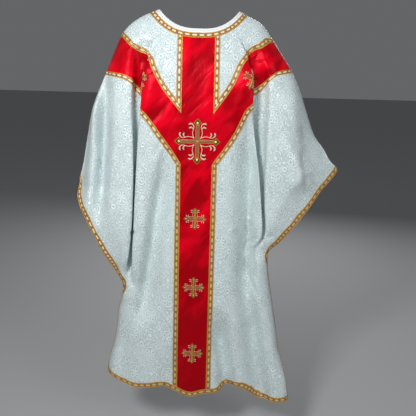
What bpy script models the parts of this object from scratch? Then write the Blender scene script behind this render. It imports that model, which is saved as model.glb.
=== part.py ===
"""A gothic chasuble, filled out as if worn: white brocade back and front, a red
satin Y orphrey on each, gold galloon and applied crosses.

Metres, +Z up.  The back faces -Y and the front +Y.  The origin is where the
wearer's neck holds it: the middle of the neck opening, at the height of the two
neck points.  The cloth is modelled through level sections: a smooth hull from
the middle of each panel round to its edge, with one deep hanging fold on each
side between body and sleeve, and softer folds from the FOLDS table.
"""

import math

import bmesh
import bpy
import numpy as np

# ---------------------------------------------------------------- sizes
NECK_HALF = 0.128        # half the width of the neck opening, at the neck points
NECK_DROP = {"back": 0.054, "front": 0.125}   # how far the neck edge dips
NECK_CURVE = {"back": 2.8, "front": 2.3}      # how square the neck edge is
SLEEVE_TIP = {"L": -0.565, "R": -0.507}       # height where a shoulder seam ends
PILLAR_HALF = 0.050      # half the red between the two galloons of the pillar
GALLOON = 0.017          # width of the woven gold trim
BAND = 0.0135            # width of the white neck binding
CLOTH = 0.0013           # wall of the brocade
SATIN = 0.0010           # wall of the satin
TRIM = 0.0010            # wall of galloon and embroidery
GAP = 0.0003             # between pieces that touch
SEAM_HALF = 0.0004       # half the gap between back and front at the shoulder

# Middle of each panel: how far it stands out from the centre plane, and how
# square the level section is (exponent).
PROFILE = (
    # z,     back,  front, power
    (0.00, 0.030, 0.024, 2.4),
    (-0.03, 0.048, 0.038, 2.4),
    (-0.06, 0.066, 0.052, 2.4),
    (-0.10, 0.088, 0.070, 2.4),
    (-0.17, 0.108, 0.094, 2.4),
    (-0.30, 0.120, 0.118, 2.3),
    (-0.60, 0.127, 0.128, 2.3),
    (-0.95, 0.135, 0.134, 3.6),
    (-1.15, 0.145, 0.142, 4.0),
    (-1.36, 0.160, 0.155, 4.0),
)

# Outline of each side: distance from the middle, and how far the back's and the
# front's edge stand off the centre plane (0 along the shoulder seam).
OUTLINE = {
    "L": (
        # z,     x,     back,  front
        (0.00, 0.128, 0.0, 0.0),
        (-0.014, 0.165, 0.0, 0.0),
        (-0.026, 0.190, 0.0, 0.0),
        (-0.049, 0.222, 0.0, 0.0),
        (-0.075, 0.245, 0.0, 0.0),
        (-0.135, 0.273, 0.0, 0.0),
        (-0.199, 0.300, 0.0, 0.0),
        (-0.258, 0.326, 0.0, 0.0),
        (-0.323, 0.350, 0.0, 0.0),
        (-0.426, 0.371, 0.0, 0.0),
        (-0.495, 0.386, 0.0, 0.0),
        (-0.565, 0.406, 0.0, 0.0),
        (-0.605, 0.408, 0.030, 0.020),
        (-0.645, 0.384, 0.072, 0.060),
        (-0.720, 0.343, 0.096, 0.090),
        (-0.800, 0.302, 0.100, 0.095),
        (-0.869, 0.257, 0.100, 0.095),
        (-0.905, 0.241, 0.094, 0.085),
        (-0.950, 0.246, 0.064, 0.060),
        (-1.000, 0.259, 0.042, 0.045),
        (-1.110, 0.284, 0.032, 0.036),
        (-1.220, 0.306, 0.026, 0.034),
        (-1.360, 0.318, 0.022, 0.034),
    ),
    "R": (
        (0.00, 0.128, 0.0, 0.0),
        (-0.018, 0.168, 0.0, 0.0),
        (-0.034, 0.200, 0.0, 0.0),
        (-0.053, 0.217, 0.0, 0.0),
        (-0.075, 0.233, 0.0, 0.0),
        (-0.130, 0.272, 0.0, 0.0),
        (-0.188, 0.312, 0.0, 0.0),
        (-0.251, 0.342, 0.0, 0.0),
        (-0.336, 0.375, 0.0, 0.0),
        (-0.392, 0.400, 0.0, 0.0),
        (-0.436, 0.434, 0.0, 0.0),
        (-0.477, 0.460, 0.0, 0.0),
        (-0.507, 0.487, 0.0, 0.0),
        (-0.535, 0.452, 0.024, 0.012),
        (-0.573, 0.410, 0.046, 0.030),
        (-0.624, 0.378, 0.070, 0.056),
        (-0.690, 0.324, 0.086, 0.080),
        (-0.740, 0.284, 0.090, 0.085),
        (-0.787, 0.249, 0.086, 0.080),
        (-0.835, 0.254, 0.062, 0.060),
        (-0.903, 0.275, 0.044, 0.048),
        (-1.018, 0.303, 0.040, 0.040),
        (-1.136, 0.320, 0.052, 0.040),
        (-1.257, 0.346, 0.092, 0.044),
        (-1.380, 0.356, 0.116, 0.050),
    ),
}

# The deep hanging fold between body and sleeve.  All x from the middle; "out"
# stands proud of the smooth hull, "in" lies behind it.
DEEP_FOLD = {
    ("back", "L"): (
        # z,    edge_x, edge_out, f1_x, f1_in, f2_x, f2_in, nose_x, nose_out
        (-0.10, 0.156, 0.000, 0.170, 0.000, 0.186, 0.000, 0.200, 0.000),
        (-0.135, 0.160, 0.002, 0.172, 0.004, 0.189, 0.004, 0.203, 0.000),
        (-0.21, 0.173, 0.006, 0.174, 0.018, 0.199, 0.020, 0.211, 0.000),
        (-0.30, 0.179, 0.006, 0.180, 0.028, 0.204, 0.032, 0.212, 0.003),
        (-0.41, 0.189, 0.002, 0.191, 0.040, 0.208, 0.044, 0.205, 0.006),
        (-0.50, 0.194, 0.000, 0.196, 0.046, 0.212, 0.046, 0.203, 0.009),
        (-0.62, 0.198, 0.000, 0.201, 0.048, 0.215, 0.046, 0.207, 0.011),
        (-0.70, 0.201, 0.000, 0.205, 0.046, 0.218, 0.044, 0.210, 0.012),
        (-0.787, 0.206, 0.000, 0.211, 0.038, 0.224, 0.036, 0.218, 0.010),
        (-0.86, 0.206, 0.000, 0.215, 0.018, 0.225, 0.016, 0.232, 0.004),
        (-0.93, 0.190, 0.000, 0.200, 0.000, 0.208, 0.000, 0.215, 0.000),
        (-1.06, 0.225, 0.000, 0.236, 0.000, 0.245, 0.000, 0.252, 0.000),
        (-1.36, 0.270, 0.000, 0.281, 0.000, 0.290, 0.000, 0.297, 0.000),
    ),
    ("back", "R"): (
        (-0.10, 0.152, 0.000, 0.166, 0.000, 0.186, 0.000, 0.206, 0.000),
        (-0.135, 0.158, 0.003, 0.170, 0.004, 0.192, 0.004, 0.212, 0.000),
        (-0.21, 0.173, 0.010, 0.173, 0.012, 0.213, 0.018, 0.228, 0.000),
        (-0.30, 0.176, 0.012, 0.176, 0.018, 0.217, 0.026, 0.230, 0.000),
        (-0.41, 0.189, 0.012, 0.188, 0.028, 0.219, 0.034, 0.230, 0.000),
        (-0.507, 0.204, 0.012, 0.203, 0.038, 0.220, 0.040, 0.228, -0.004),
        (-0.62, 0.216, 0.010, 0.216, 0.040, 0.228, 0.040, 0.232, -0.006),
        (-0.70, 0.222, 0.006, 0.224, 0.028, 0.234, 0.028, 0.240, -0.004),
        (-0.787, 0.196, 0.000, 0.206, 0.002, 0.214, 0.002, 0.221, 0.000),
        (-0.86, 0.205, 0.000, 0.216, 0.000, 0.225, 0.000, 0.231, 0.000),
        (-1.02, 0.262, 0.000, 0.273, 0.000, 0.282, 0.000, 0.288, 0.000),
        (-1.38, 0.310, 0.000, 0.322, 0.000, 0.332, 0.000, 0.338, 0.000),
    ),
    ("front", "L"): (
        (-0.15, 0.162, 0.000, 0.173, 0.000, 0.195, 0.000, 0.210, 0.000),
        (-0.215, 0.166, 0.002, 0.177, 0.004, 0.200, 0.004, 0.216, 0.000),
        (-0.30, 0.180, 0.008, 0.181, 0.020, 0.210, 0.026, 0.226, 0.000),
        (-0.41, 0.192, 0.010, 0.192, 0.036, 0.218, 0.040, 0.229, 0.000),
        (-0.56, 0.204, 0.010, 0.204, 0.042, 0.223, 0.044, 0.231, 0.000),
        (-0.70, 0.212, 0.006, 0.214, 0.038, 0.229, 0.038, 0.237, -0.002),
        (-0.787, 0.212, 0.004, 0.217, 0.026, 0.229, 0.026, 0.236, 0.000),
        (-0.86, 0.206, 0.000, 0.215, 0.010, 0.225, 0.008, 0.232, 0.000),
        (-0.93, 0.190, 0.000, 0.200, 0.000, 0.208, 0.000, 0.215, 0.000),
        (-1.06, 0.225, 0.000, 0.236, 0.000, 0.245, 0.000, 0.252, 0.000),
        (-1.36, 0.270, 0.000, 0.281, 0.000, 0.290, 0.000, 0.297, 0.000),
    ),
    ("front", "R"): (
        (-0.15, 0.162, 0.000, 0.173, 0.000, 0.190, 0.000, 0.205, 0.000),
        (-0.215, 0.166, 0.002, 0.177, 0.004, 0.196, 0.004, 0.210, 0.000),
        (-0.30, 0.180, 0.004, 0.183, 0.022, 0.203, 0.024, 0.216, 0.003),
        (-0.41, 0.191, 0.002, 0.194, 0.038, 0.211, 0.042, 0.212, 0.006),
        (-0.52, 0.202, 0.000, 0.206, 0.042, 0.219, 0.042, 0.212, 0.009),
        (-0.62, 0.208, 0.000, 0.213, 0.038, 0.226, 0.036, 0.220, 0.009),
        (-0.70, 0.214, 0.000, 0.220, 0.026, 0.232, 0.024, 0.232, 0.004),
        (-0.787, 0.196, 0.000, 0.206, 0.002, 0.214, 0.002, 0.221, 0.000),
        (-0.86, 0.205, 0.000, 0.216, 0.000, 0.225, 0.000, 0.231, 0.000),
        (-1.02, 0.262, 0.000, 0.273, 0.000, 0.282, 0.000, 0.288, 0.000),
        (-1.38, 0.310, 0.000, 0.322, 0.000, 0.332, 0.000, 0.338, 0.000),
    ),
}

# Softer folds: a trough (depth > 0) or a ridge (depth < 0) that runs from its
# top to its bottom point.  x is signed: the left of the back view is negative.
FOLDS = {
    "back": (
        # z top, x top, z bottom, x bottom, depth, width
        (-0.34, -0.095, -1.10, -0.200, 0.013, 0.026),
        (-0.95, -0.140, -1.42, -0.158, 0.020, 0.050),
        (-1.00, -0.235, -1.42, -0.262, -0.012, 0.034),
        (-0.25, 0.128, -1.02, 0.152, 0.015, 0.024),
        (-0.66, 0.186, -1.42, 0.276, -0.024, 0.036),
        (-1.00, 0.112, -1.42, 0.136, 0.030, 0.042),
        (-1.05, 0.000, -1.42, 0.000, -0.014, 0.050),
        (-0.14, -0.270, -0.74, -0.318, 0.010, 0.022),
        (-0.16, 0.268, -0.56, 0.300, 0.010, 0.024),
        (-0.30, 0.345, -0.60, 0.370, 0.008, 0.020),
    ),
    "front": (
        (-0.36, -0.120, -1.42, -0.170, 0.020, 0.036),
        (-0.70, -0.215, -1.42, -0.250, -0.016, 0.032),
        (-0.30, 0.115, -1.42, 0.150, 0.018, 0.034),
        (-0.80, 0.235, -1.42, 0.270, -0.018, 0.034),
        (-1.00, 0.010, -1.42, 0.010, -0.012, 0.060),
        (-0.18, -0.285, -0.70, -0.320, 0.012, 0.024),
        (-0.18, 0.290, -0.60, 0.340, 0.012, 0.026),
    ),
}

# Height of the hem, by signed distance from the middle.
HEM = (
    # x,     z
    (-0.36, -1.252),
    (-0.25, -1.262),
    (-0.18, -1.270),
    (-0.10, -1.266),
    (-0.05, -1.279),
    (0.00, -1.291),
    (0.055, -1.285),
    (0.10, -1.280),
    (0.16, -1.272),
    (0.20, -1.283),
    (0.25, -1.304),
    (0.30, -1.318),
    (0.38, -1.324),
)

# Heights of the level rows of each panel below the shoulder.
ROWS = {
    "back": (-0.135, -0.21, -0.30, -0.41, -0.507, -0.565, -0.62, -0.70, -0.787,
             -0.86, -0.93, -1.07),
    "front": (-0.215, -0.30, -0.41, -0.507, -0.565, -0.62, -0.70, -0.787,
              -0.86, -0.93, -1.07),
}
# Rows that fan out above them: how far down the panel in the middle from the neck
# edge, and the height at the shoulder seam.
YOKE = {
    "back": ((0.0, 0.0), (0.0135, 0.005), (0.0305, 0.0115), (0.052, 0.034), (0.068, 0.072)),
    "front": ((0.0, 0.0), (0.0135, 0.005), (0.0305, 0.0115), (0.043, 0.034),
              (0.054, 0.072), (0.066, 0.135)),
}

# The arms of the orphrey: the red-side line of the galloon above each arm and of
# the one below it, by the heights where it leaves the pillar and crosses the
# body's edge, the sleeve's fold and the shoulder seam.
ARMS = {
    # (panel, side, line): pillar, body edge, fold, seam
    ("back", "L", "above"): (-0.319, -0.153, -0.125, -0.078),
    ("back", "R", "above"): (-0.319, -0.148, -0.115, -0.090),
    ("back", "L", "below"): (-0.477, -0.305, -0.232, -0.193),
    ("back", "R", "below"): (-0.477, -0.279, -0.200, -0.174),
    ("front", "L", "above"): (-0.322, -0.166, -0.132, -0.078),
    ("front", "R", "above"): (-0.322, -0.168, -0.132, -0.090),
    ("front", "L", "below"): (-0.490, -0.312, -0.236, -0.193),
    ("front", "R", "below"): (-0.490, -0.306, -0.226, -0.174),
}

# Crosses on the back's orphrey, by place on the flat panel.
CROSSES = (
    # name,      across,  down,  size,  turn in degrees
    ("large", 0.000, 0.408, 0.148, 0.0),
    ("small_1", 0.000, 0.658, 0.074, 0.0),
    ("small_2", 0.000, 0.897, 0.074, 0.0),
    ("small_3", 0.000, 1.137, 0.074, 0.0),
    ("arm_left", -0.190, 0.216, 0.068, 24.0),
    ("arm_right", 0.172, 0.204, 0.068, -18.0),
)
CROSS_ARM = 0.26         # width of a cross's arm, as a share of its size

COLOURS = {
    # finish: colour, roughness, metallic
    "brocade": ((0.80, 0.84, 0.84), 0.45, 0.0),
    "band": ((0.86, 0.87, 0.87), 0.55, 0.0),
    "satin": ((0.62, 0.01, 0.03), 0.35, 0.0),
    "galloon": ((0.62, 0.42, 0.12), 0.40, 0.3),
    "embroidery": ((0.50, 0.26, 0.08), 0.45, 0.2),
}


# ---------------------------------------------------------------- tools
def table(rows, at):
    """A row of the table at a height, through a smooth curve that doesn't overshoot."""
    rows = sorted(rows)
    z = np.array([r[0] for r in rows])
    v = np.array([r[1:] for r in rows], float)
    at = min(max(at, z[0]), z[-1])
    i = min(max(int(np.searchsorted(z, at)) - 1, 0), len(z) - 2)
    h = np.diff(z)
    d = np.diff(v, axis=0) / h[:, None]

    def slope(k):
        if k == 0:
            return d[0]
        if k == len(z) - 1:
            return d[-1]
        a, b = d[k - 1], d[k]
        return np.where(a * b > 0, 2 * a * b / np.where(a + b == 0, 1, a + b), 0.0)

    t = (at - z[i]) / h[i]
    return (
        (2 * t**3 - 3 * t**2 + 1) * v[i]
        + (t**3 - 2 * t**2 + t) * h[i] * slope(i)
        + (-2 * t**3 + 3 * t**2) * v[i + 1]
        + (t**3 - t**2) * h[i] * slope(i + 1)
    )


def ease(t):
    t = min(max(t, 0.0), 1.0)
    return t * t * (3 - 2 * t)


def hull(panel, side, x, z):
    """The smooth hull: how far the panel stands out at a distance x from the middle."""
    back, front, power = table(PROFILE, z)
    middle = back if panel == "back" else front
    edge_x, edge_back, edge_front = table(OUTLINE[side], z)
    edge = edge_back if panel == "back" else edge_front
    share = min(max(x / edge_x, 0.0), 1.0)
    return edge + (middle - edge) * (1 - share**power) ** (1 / power)


def soft(panel, side, x, z):
    """What the softer folds add to the hull."""
    signed = -x if side == "L" else x
    out = 0.0
    for z0, x0, z1, x1, depth, width in FOLDS[panel]:
        along = (z0 - z) / (z0 - z1)
        if not -0.05 < along < 1.05:
            continue
        ramp = ease(along / 0.35) * ease((1 - along) / 0.25)
        middle = x0 + (x1 - x0) * along
        out -= depth * ramp * math.exp(-(((signed - middle) / width) ** 2))
    return out


def surface(panel, side, x, z):
    return hull(panel, side, x, z) + soft(panel, side, x, z)


def section(panel, side, z):
    """A level section from the middle out to the edge, as knots (x, out)."""
    edge_x, edge_back, edge_front = table(OUTLINE[side], z)
    edge = edge_back if panel == "back" else edge_front
    bx, b_out, f1x, f1_in, f2x, f2_in, nx, n_out = table(DEEP_FOLD[panel, side], z)
    at = lambda x: surface(panel, side, x, z)
    b0 = bx - 0.022
    knots = [(x, at(x)) for x in (0.0, PILLAR_HALF, PILLAR_HALF + GALLOON)]
    x = PILLAR_HALF + GALLOON + (b0 - PILLAR_HALF - GALLOON) * 0.52
    knots.append((x, at(x)))
    deep = min(1.0, (f1_in + f2_in) / 0.03)
    lip = 0.010 * deep
    knots += [
        (b0, at(b0) + b_out),
        (bx, at(bx) + b_out - lip),
        (f1x, at(f1x) - f1_in),
        (f2x, at(min(f2x, edge_x)) - f2_in),
        (nx, at(nx) + n_out - lip),
    ]
    n0 = nx + min(0.022, 0.4 * (edge_x - nx))
    for part, lift in ((0, n_out), (0.52, 0.2 * n_out)):
        x = n0 + (edge_x - n0) * part
        knots.append((x, at(x) + lift))
    knots.append((edge_x, edge))
    return knots


def along(points, at):
    """The point a given way along a line of points."""
    p = np.array(points, float)
    s = np.concatenate([[0], np.cumsum(np.linalg.norm(np.diff(p, axis=0), axis=1))])
    return np.array([np.interp(at, s, p[:, k]) for k in range(p.shape[1])])


def length(points):
    p = np.array(points, float)
    return float(np.linalg.norm(np.diff(p, axis=0), axis=1).sum())


# ---------------------------------------------------------------- one panel
def side_grid(panel, side):
    """Rows of points (x, out, z) from the middle to the edge, from the neck down."""
    tip = SLEEVE_TIP[side]
    first = ROWS[panel][0]
    base = section(panel, side, first)
    count = len(base) + 1  # one more, where the edge galloon starts

    def with_trim(knots, wide):
        """Puts the edge galloon's inner line before the last point."""
        flat = length(knots)
        inner = along(knots, flat - wide)
        kept = [k for k in knots[:-1]]
        # the last knots are pulled in, so that none lies under the galloon
        last = len(kept)
        s = 0.0
        places = [0.0]
        for a, b in zip(kept[:-1], kept[1:]):
            s += math.dist(a, b)
            places.append(s)
        room = flat - wide
        start = 8 if places[8] < room - 0.004 else 5
        fold_end = places[start]
        top = min(places[-1], room - 0.25 * (room - fold_end))
        scale = (top - fold_end) / max(places[-1] - fold_end, 1e-6)
        if places[-1] > room - 0.004:
            for k in range(start + 1, last):
                kept[k] = tuple(along(knots, fold_end + (places[k] - fold_end) * scale))
        return kept + [tuple(inner), knots[-1]]

    # how fast the edge runs inwards gives the galloon's width across a level row
    def trim_wide(z):
        a, b = (
            np.array([*table(OUTLINE[side], z + d)[[0, 1 if panel == "back" else 2]], z + d])
            for d in (0.012, -0.012)
        )
        run = np.linalg.norm((a - b)[:2]) / 0.024
        return GALLOON * math.sqrt(1 + min(run, 1.6) ** 2)

    rows = []
    # the yoke: rows that fan from the neck edge to the first level row
    drop, power = NECK_DROP[panel], NECK_CURVE[panel]
    level = with_trim(base, GALLOON)
    edge_first = table(OUTLINE[side], first)[0]
    share = [
        (p[0] - 0.067) / (edge_first - 0.067) if p[0] > 0.068 else None for p in level
    ]
    fans = YOKE[panel]
    lean = 0.90 if panel == "back" else 0.95
    for step, (middle, seam) in enumerate(fans):
        z_mid, z_edge = -drop - middle * lean, -seam
        edge_x = table(OUTLINE[side], z_edge)[0]
        reach = NECK_HALF if step == 0 else edge_x
        mix = min(1.0, seam / 0.10)
        p_row = power + (2.0 - power) * mix
        row = []
        for p, part in zip(level, share):
            x = p[0] if part is None else 0.067 + (reach - 0.067) * part
            f = min(x / reach, 1.0)
            z = z_mid + (z_edge - z_mid) * f**p_row
            row.append((x, surface(panel, side, x, z), z))
        row[-1] = (reach, 0.0, z_edge)
        rows.append(row)
    for z in ROWS[panel]:
        knots = section(panel, side, z)
        wide = trim_wide(z) if z < tip + 0.001 else GALLOON
        rows.append([(x, y, z) for x, y in with_trim(knots, wide)])
    # the hem, and the row above it where its galloon starts
    for up in (GALLOON, 0.0):
        row = []
        for k in range(count):
            z = -1.29
            for _ in range(3):
                knots = with_trim(section(panel, side, z), GALLOON)
                x = -knots[k][0] if side == "L" else knots[k][0]
                z = float(table(HEM, x)[0]) + up
            knots = with_trim(section(panel, side, z), GALLOON)
            row.append((*knots[k], z))
        rows.append(row)
    return rows


def panel_grid(panel):
    """The whole panel as an array of rows and columns of points, and its edge facts."""
    left, right = side_grid(panel, "L"), side_grid(panel, "R")
    out = -1 if panel == "back" else 1
    grid = []
    for a, b in zip(left, right):
        row = [(-x, out * y, z) for x, y, z in a[:0:-1]]
        row += [(x, out * y, z) for x, y, z in b]
        grid.append(row)
    return np.array(grid, float)


def normals(grid, panel):
    """Outward normals, and along the shoulder seam ones without any Y."""
    face = np.cross(grid[:-1, 1:] - grid[:-1, :-1], grid[1:, :-1] - grid[:-1, :-1])
    if panel == "back":
        face = -face
    face /= np.maximum(np.linalg.norm(face, axis=2, keepdims=True), 1e-12)
    total = np.zeros_like(grid)
    for i in (0, 1):
        for j in (0, 1):
            total[i : grid.shape[0] - 1 + i, j : grid.shape[1] - 1 + j] += face
    total /= np.maximum(np.linalg.norm(total, axis=2, keepdims=True), 1e-12)
    return total


def flat_places(grid):
    """Where each point lies on the flat panel: across from the middle, and down."""
    rows, cols, _ = grid.shape
    mid = cols // 2
    s, t = np.zeros((rows, cols)), np.zeros((rows, cols))
    step = np.linalg.norm(np.diff(grid, axis=1), axis=2)
    for i in range(rows):
        s[i, mid + 1 :] = np.cumsum(step[i, mid:])
        s[i, :mid] = -np.cumsum(step[i, :mid][::-1])[::-1]
    anchor = 9
    t[anchor] = -grid[anchor, mid, 2]
    for order, sign in ((range(anchor + 1, rows), 1), (range(anchor - 1, -1, -1), -1)):
        for i in order:
            before = i - sign
            whole = np.linalg.norm(grid[i] - grid[before], axis=1)
            side = np.abs(s[i] - s[before])
            t[i] = t[before] + sign * np.sqrt(np.maximum(whole**2 - side**2, (0.3 * whole) ** 2))
    return s, t


class Sheet:
    """The panel's triangles on the flat, each point carrying its place in space."""

    def __init__(self, panel):
        self.panel = panel
        grid = panel_grid(panel)
        rows, cols, _ = grid.shape
        self.mid = cols // 2
        normal = normals(grid, panel)
        s, t = flat_places(grid)
        y_out = -1 if panel == "back" else 1
        for i in range(rows):
            for j, side in ((0, "L"), (cols - 1, "R")):
                if grid[i, j, 2] > SLEEVE_TIP[side] - 0.0005:
                    grid[i, j, 1] = y_out * SEAM_HALF
                    n = normal[i, j] * (1, 0, 1)
                    n += np.array([(-1 if side == "L" else 1) * 0.05, 0, 0.05])
                    normal[i, j] = n / np.linalg.norm(n)
        self.grid, self.normal, self.s, self.t = grid, normal, s, t
        bm = bmesh.new()
        self.pos = bm.verts.layers.float_vector.new("pos")
        self.nor = bm.verts.layers.float_vector.new("nor")
        self.row = bm.faces.layers.int.new("row")
        self.col = bm.faces.layers.int.new("col")
        verts = []
        for i in range(rows):
            line = []
            for j in range(cols):
                v = bm.verts.new((s[i, j], -t[i, j], 0.0))
                v[self.pos] = grid[i, j]
                v[self.nor] = normal[i, j]
                line.append(v)
            verts.append(line)
        for i in range(rows - 1):
            for j in range(cols - 1):
                f = bm.faces.new(
                    (verts[i][j], verts[i + 1][j], verts[i + 1][j + 1], verts[i][j + 1])
                )
                f[self.row], f[self.col] = i, j
        self.bm, self.rows, self.cols = bm, rows, cols
        bmesh.ops.triangulate(bm, faces=bm.faces[:])

    def cut(self, a, b, keep):
        """Cuts the faces for which keep(face) holds, along the line through a and b."""
        faces = [f for f in self.bm.faces if keep(f)]
        geom = set(faces)
        for f in faces:
            geom.update(f.verts)
            geom.update(f.edges)
        d = (b[0] - a[0], b[1] - a[1])
        bmesh.ops.bisect_plane(
            self.bm,
            geom=list(geom),
            dist=1e-5,
            plane_co=(a[0], a[1], 0),
            plane_no=(-d[1], d[0], 0),
        )

    def on_column(self, j, z):
        """Where a column of the panel is at a height, on the flat."""
        heights = self.grid[:, j, 2]
        order = np.argsort(heights)
        return np.array([
            np.interp(z, heights[order], self.s[order, j]),
            -np.interp(z, heights[order], self.t[order, j]),
        ])

    def meets(self, j, at, way):
        """Where a line crosses a column, on the flat."""
        p = np.stack([self.s[:, j], -self.t[:, j]], axis=1)
        side = (p[:, 0] - at[0]) * way[1] - (p[:, 1] - at[1]) * way[0]
        for i in range(len(p) - 1):
            if side[i] * side[i + 1] <= 0 and side[i] != side[i + 1]:
                return p[i] + (p[i + 1] - p[i]) * side[i] / (side[i] - side[i + 1])
        return at

    def finish(self):
        bmesh.ops.triangulate(self.bm, faces=[f for f in self.bm.faces if len(f.verts) > 3])
        self.bm.verts.index_update()


def solid(sheet, name, faces, low, high, finish, pull=0.0):
    """A wall between two offsets from the panel's outer face, over the given faces."""
    faces = list(faces)
    pos, nor = sheet.pos, sheet.nor
    verts = sorted({v for f in faces for v in f.verts}, key=lambda v: v.index)
    number = {v: k for k, v in enumerate(verts)}
    centre, weight = {}, {}
    chosen = set(faces)
    for f in faces:
        for e in f.edges:
            if sum(1 for g in e.link_faces if g in chosen) == 1:
                c = sum((v[pos] for v in f.verts), f.verts[0][pos] * 0) / len(f.verts)
                a, b = e.verts
                way = b[pos] - a[pos]
                into = c - a[pos]
                into = into - way * (into.dot(way) / max(way.length_squared, 1e-12))
                if into.length > 1e-9:
                    into = into.normalized()
                for v in e.verts:
                    centre[v] = centre.get(v, into * 0) + into
    points = []
    for v in verts:
        p = v[pos].copy()
        if pull and v in centre and centre[v].length > 1e-6:
            p += centre[v].normalized() * pull
        points.append((p, v[nor]))
    mesh = bpy.data.meshes.new(name)
    bm = bmesh.new()
    outer = [bm.verts.new(p + n * high) for p, n in points]
    inner = [bm.verts.new(p + n * low) for p, n in points]
    flip = sheet.panel == "front"
    for f in faces:
        loop = [number[v] for v in f.verts]
        if flip:
            loop.reverse()
        bm.faces.new([outer[k] for k in loop])
        bm.faces.new([inner[k] for k in reversed(loop)])
        for k, vert in enumerate(f.verts):
            other = f.verts[(k + 1) % len(f.verts)]
            e = next(e for e in vert.link_edges if other in e.verts)
            if sum(1 for g in e.link_faces if g in chosen) == 1:
                a, b = number[vert], number[other]
                if flip:
                    a, b = b, a
                bm.faces.new((outer[a], inner[a], inner[b]))
                bm.faces.new((outer[a], inner[b], outer[b]))
    bm.to_mesh(mesh)
    bm.free()
    thing = bpy.data.objects.new(name, mesh)
    bpy.context.scene.collection.objects.link(thing)
    mesh.materials.append(material(finish))
    mesh.shade_smooth()
    mesh.set_sharp_from_angle(angle=math.radians(60))
    return thing


def material(finish):
    name = f"cloth_{finish}"
    if name in bpy.data.materials:
        return bpy.data.materials[name]
    m = bpy.data.materials.new(name)
    m.use_nodes = True
    shader = m.node_tree.nodes["Principled BSDF"]
    colour, rough, metal = COLOURS[finish]
    shader.inputs["Base Color"].default_value = (*colour, 1)
    shader.inputs["Roughness"].default_value = rough
    shader.inputs["Metallic"].default_value = metal
    return m


def build(panel):
    sheet = Sheet(panel)
    mid, cols = sheet.mid, sheet.cols
    back = panel == "back"
    # column numbers, counted from the middle
    red, outer = 1, 2
    edge = cols - 1 - mid
    yoke_first, hem_row = 2, sheet.rows - 2

    def col(f):
        """Which strip of columns a face is in: 0 is next to the middle."""
        c = f[sheet.col]
        return mid - 1 - c if c < mid else c - mid

    # the red-side line of each arm's galloons, and the galloon's far side
    columns = (red, 5, 8, edge)
    lines = {}
    for sign, side in ((-1, "L"), (1, "R")):
        for arm, up in (("above", 1), ("below", -1)):
            heights = ARMS[panel, side, arm]
            marks = [sheet.on_column(mid + sign * c, z) for c, z in zip(columns, heights)]
            for k, off in enumerate((0.0, GALLOON)):
                at = marks[0]
                for part in range(3):
                    way = marks[part + 1] - marks[part]
                    way = way / np.linalg.norm(way)
                    if part == 0 and k:
                        away = np.array([-way[1], way[0]])
                        at = at + away * off * (up if away[1] > 0 else -up)
                    lines[sign, arm, k, part] = (at, way)
                    at = sheet.meets(mid + sign * columns[part + 1], at, way)

    def cut(sheet, sides):
        for (sign, arm, k, part), (at, way) in lines.items():
            if k not in sides:
                continue
            low, high = columns[part], columns[part + 1]
            sheet.cut(
                at,
                at + way,
                lambda f: (f[sheet.col] < mid) == (sign < 0)
                and low <= col(f) < high
                and f[sheet.row] >= yoke_first,
            )
        sheet.finish()

    def beyond(f, arm, k):
        """Signed distance of a face from a line, + on the neck side."""
        c = f.calc_center_median()
        sign = -1 if c.x < 0 else 1
        part = 0 if col(f) < columns[1] else 1 if col(f) < columns[2] else 2
        at, way = lines[sign, arm, k, part]
        return -sign * ((c.x - at[0]) * way[1] - (c.y - at[1]) * way[0])

    def place(f):
        """What a face of the cut sheet belongs to."""
        r, c = f[sheet.row], col(f)
        left = f[sheet.col] < mid
        side = "left" if left else "right"
        if r == 0:
            return "band"
        if r == 1:
            return "neck"
        tip = SLEEVE_TIP["L" if left else "R"]
        if r == hem_row or (
            c == edge - 1 and min(v[sheet.pos].z for v in f.verts) < tip - 0.0005
        ):
            return "edge"
        if c >= red:
            if beyond(f, "above", 0) > 0:
                if c == red or beyond(f, "above", 1) < 0:
                    return "v_" + side
            elif beyond(f, "below", 0) < 0:
                if c == red or beyond(f, "below", 1) > 0:
                    return "pillar_" + side
            else:
                return "red"
            return "ground"
        return "red"

    # the panel itself, whole
    sheet.finish()
    solid(sheet, f"{panel}_panel", sheet.bm.faces[:], -CLOTH, 0.0, "brocade")
    low, high = GAP, GAP + TRIM
    for part, name, finish in (
        ("band", "neck_band", "band"),
        ("neck", "galloon_neck", "galloon"),
        ("edge", "galloon_edge", "galloon"),
    ):
        faces = [f for f in sheet.bm.faces if place(f) == part]
        solid(sheet, f"{name}_{panel}", faces, low, high, finish, GAP)

    # the satin, cut only along its own outline
    sheet = Sheet(panel)
    cut(sheet, (1,))
    faces = []
    for f in sheet.bm.faces:
        if f[sheet.row] < yoke_first or place(f) == "edge":
            continue
        inside = beyond(f, "above", 1) < 0 and beyond(f, "below", 1) > 0
        if col(f) < outer or inside:
            faces.append(f)
    solid(sheet, f"orphrey_{panel}", faces, GAP, GAP + SATIN, "satin", GAP)
    low = GAP + SATIN + GAP
    if back:
        for mark, s, t, size, turn in CROSSES:
            cross(panel, mark, s, t, size, turn, low)

    # its galloon
    sheet = Sheet(panel)
    cut(sheet, (0, 1))
    for side in ("left", "right"):
        for part in ("v", "pillar"):
            faces = [f for f in sheet.bm.faces if place(f) == f"{part}_{side}"]
            name = f"galloon_{part}_{side}_{panel}"
            solid(sheet, name, faces, low, low + TRIM, "galloon")


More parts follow.
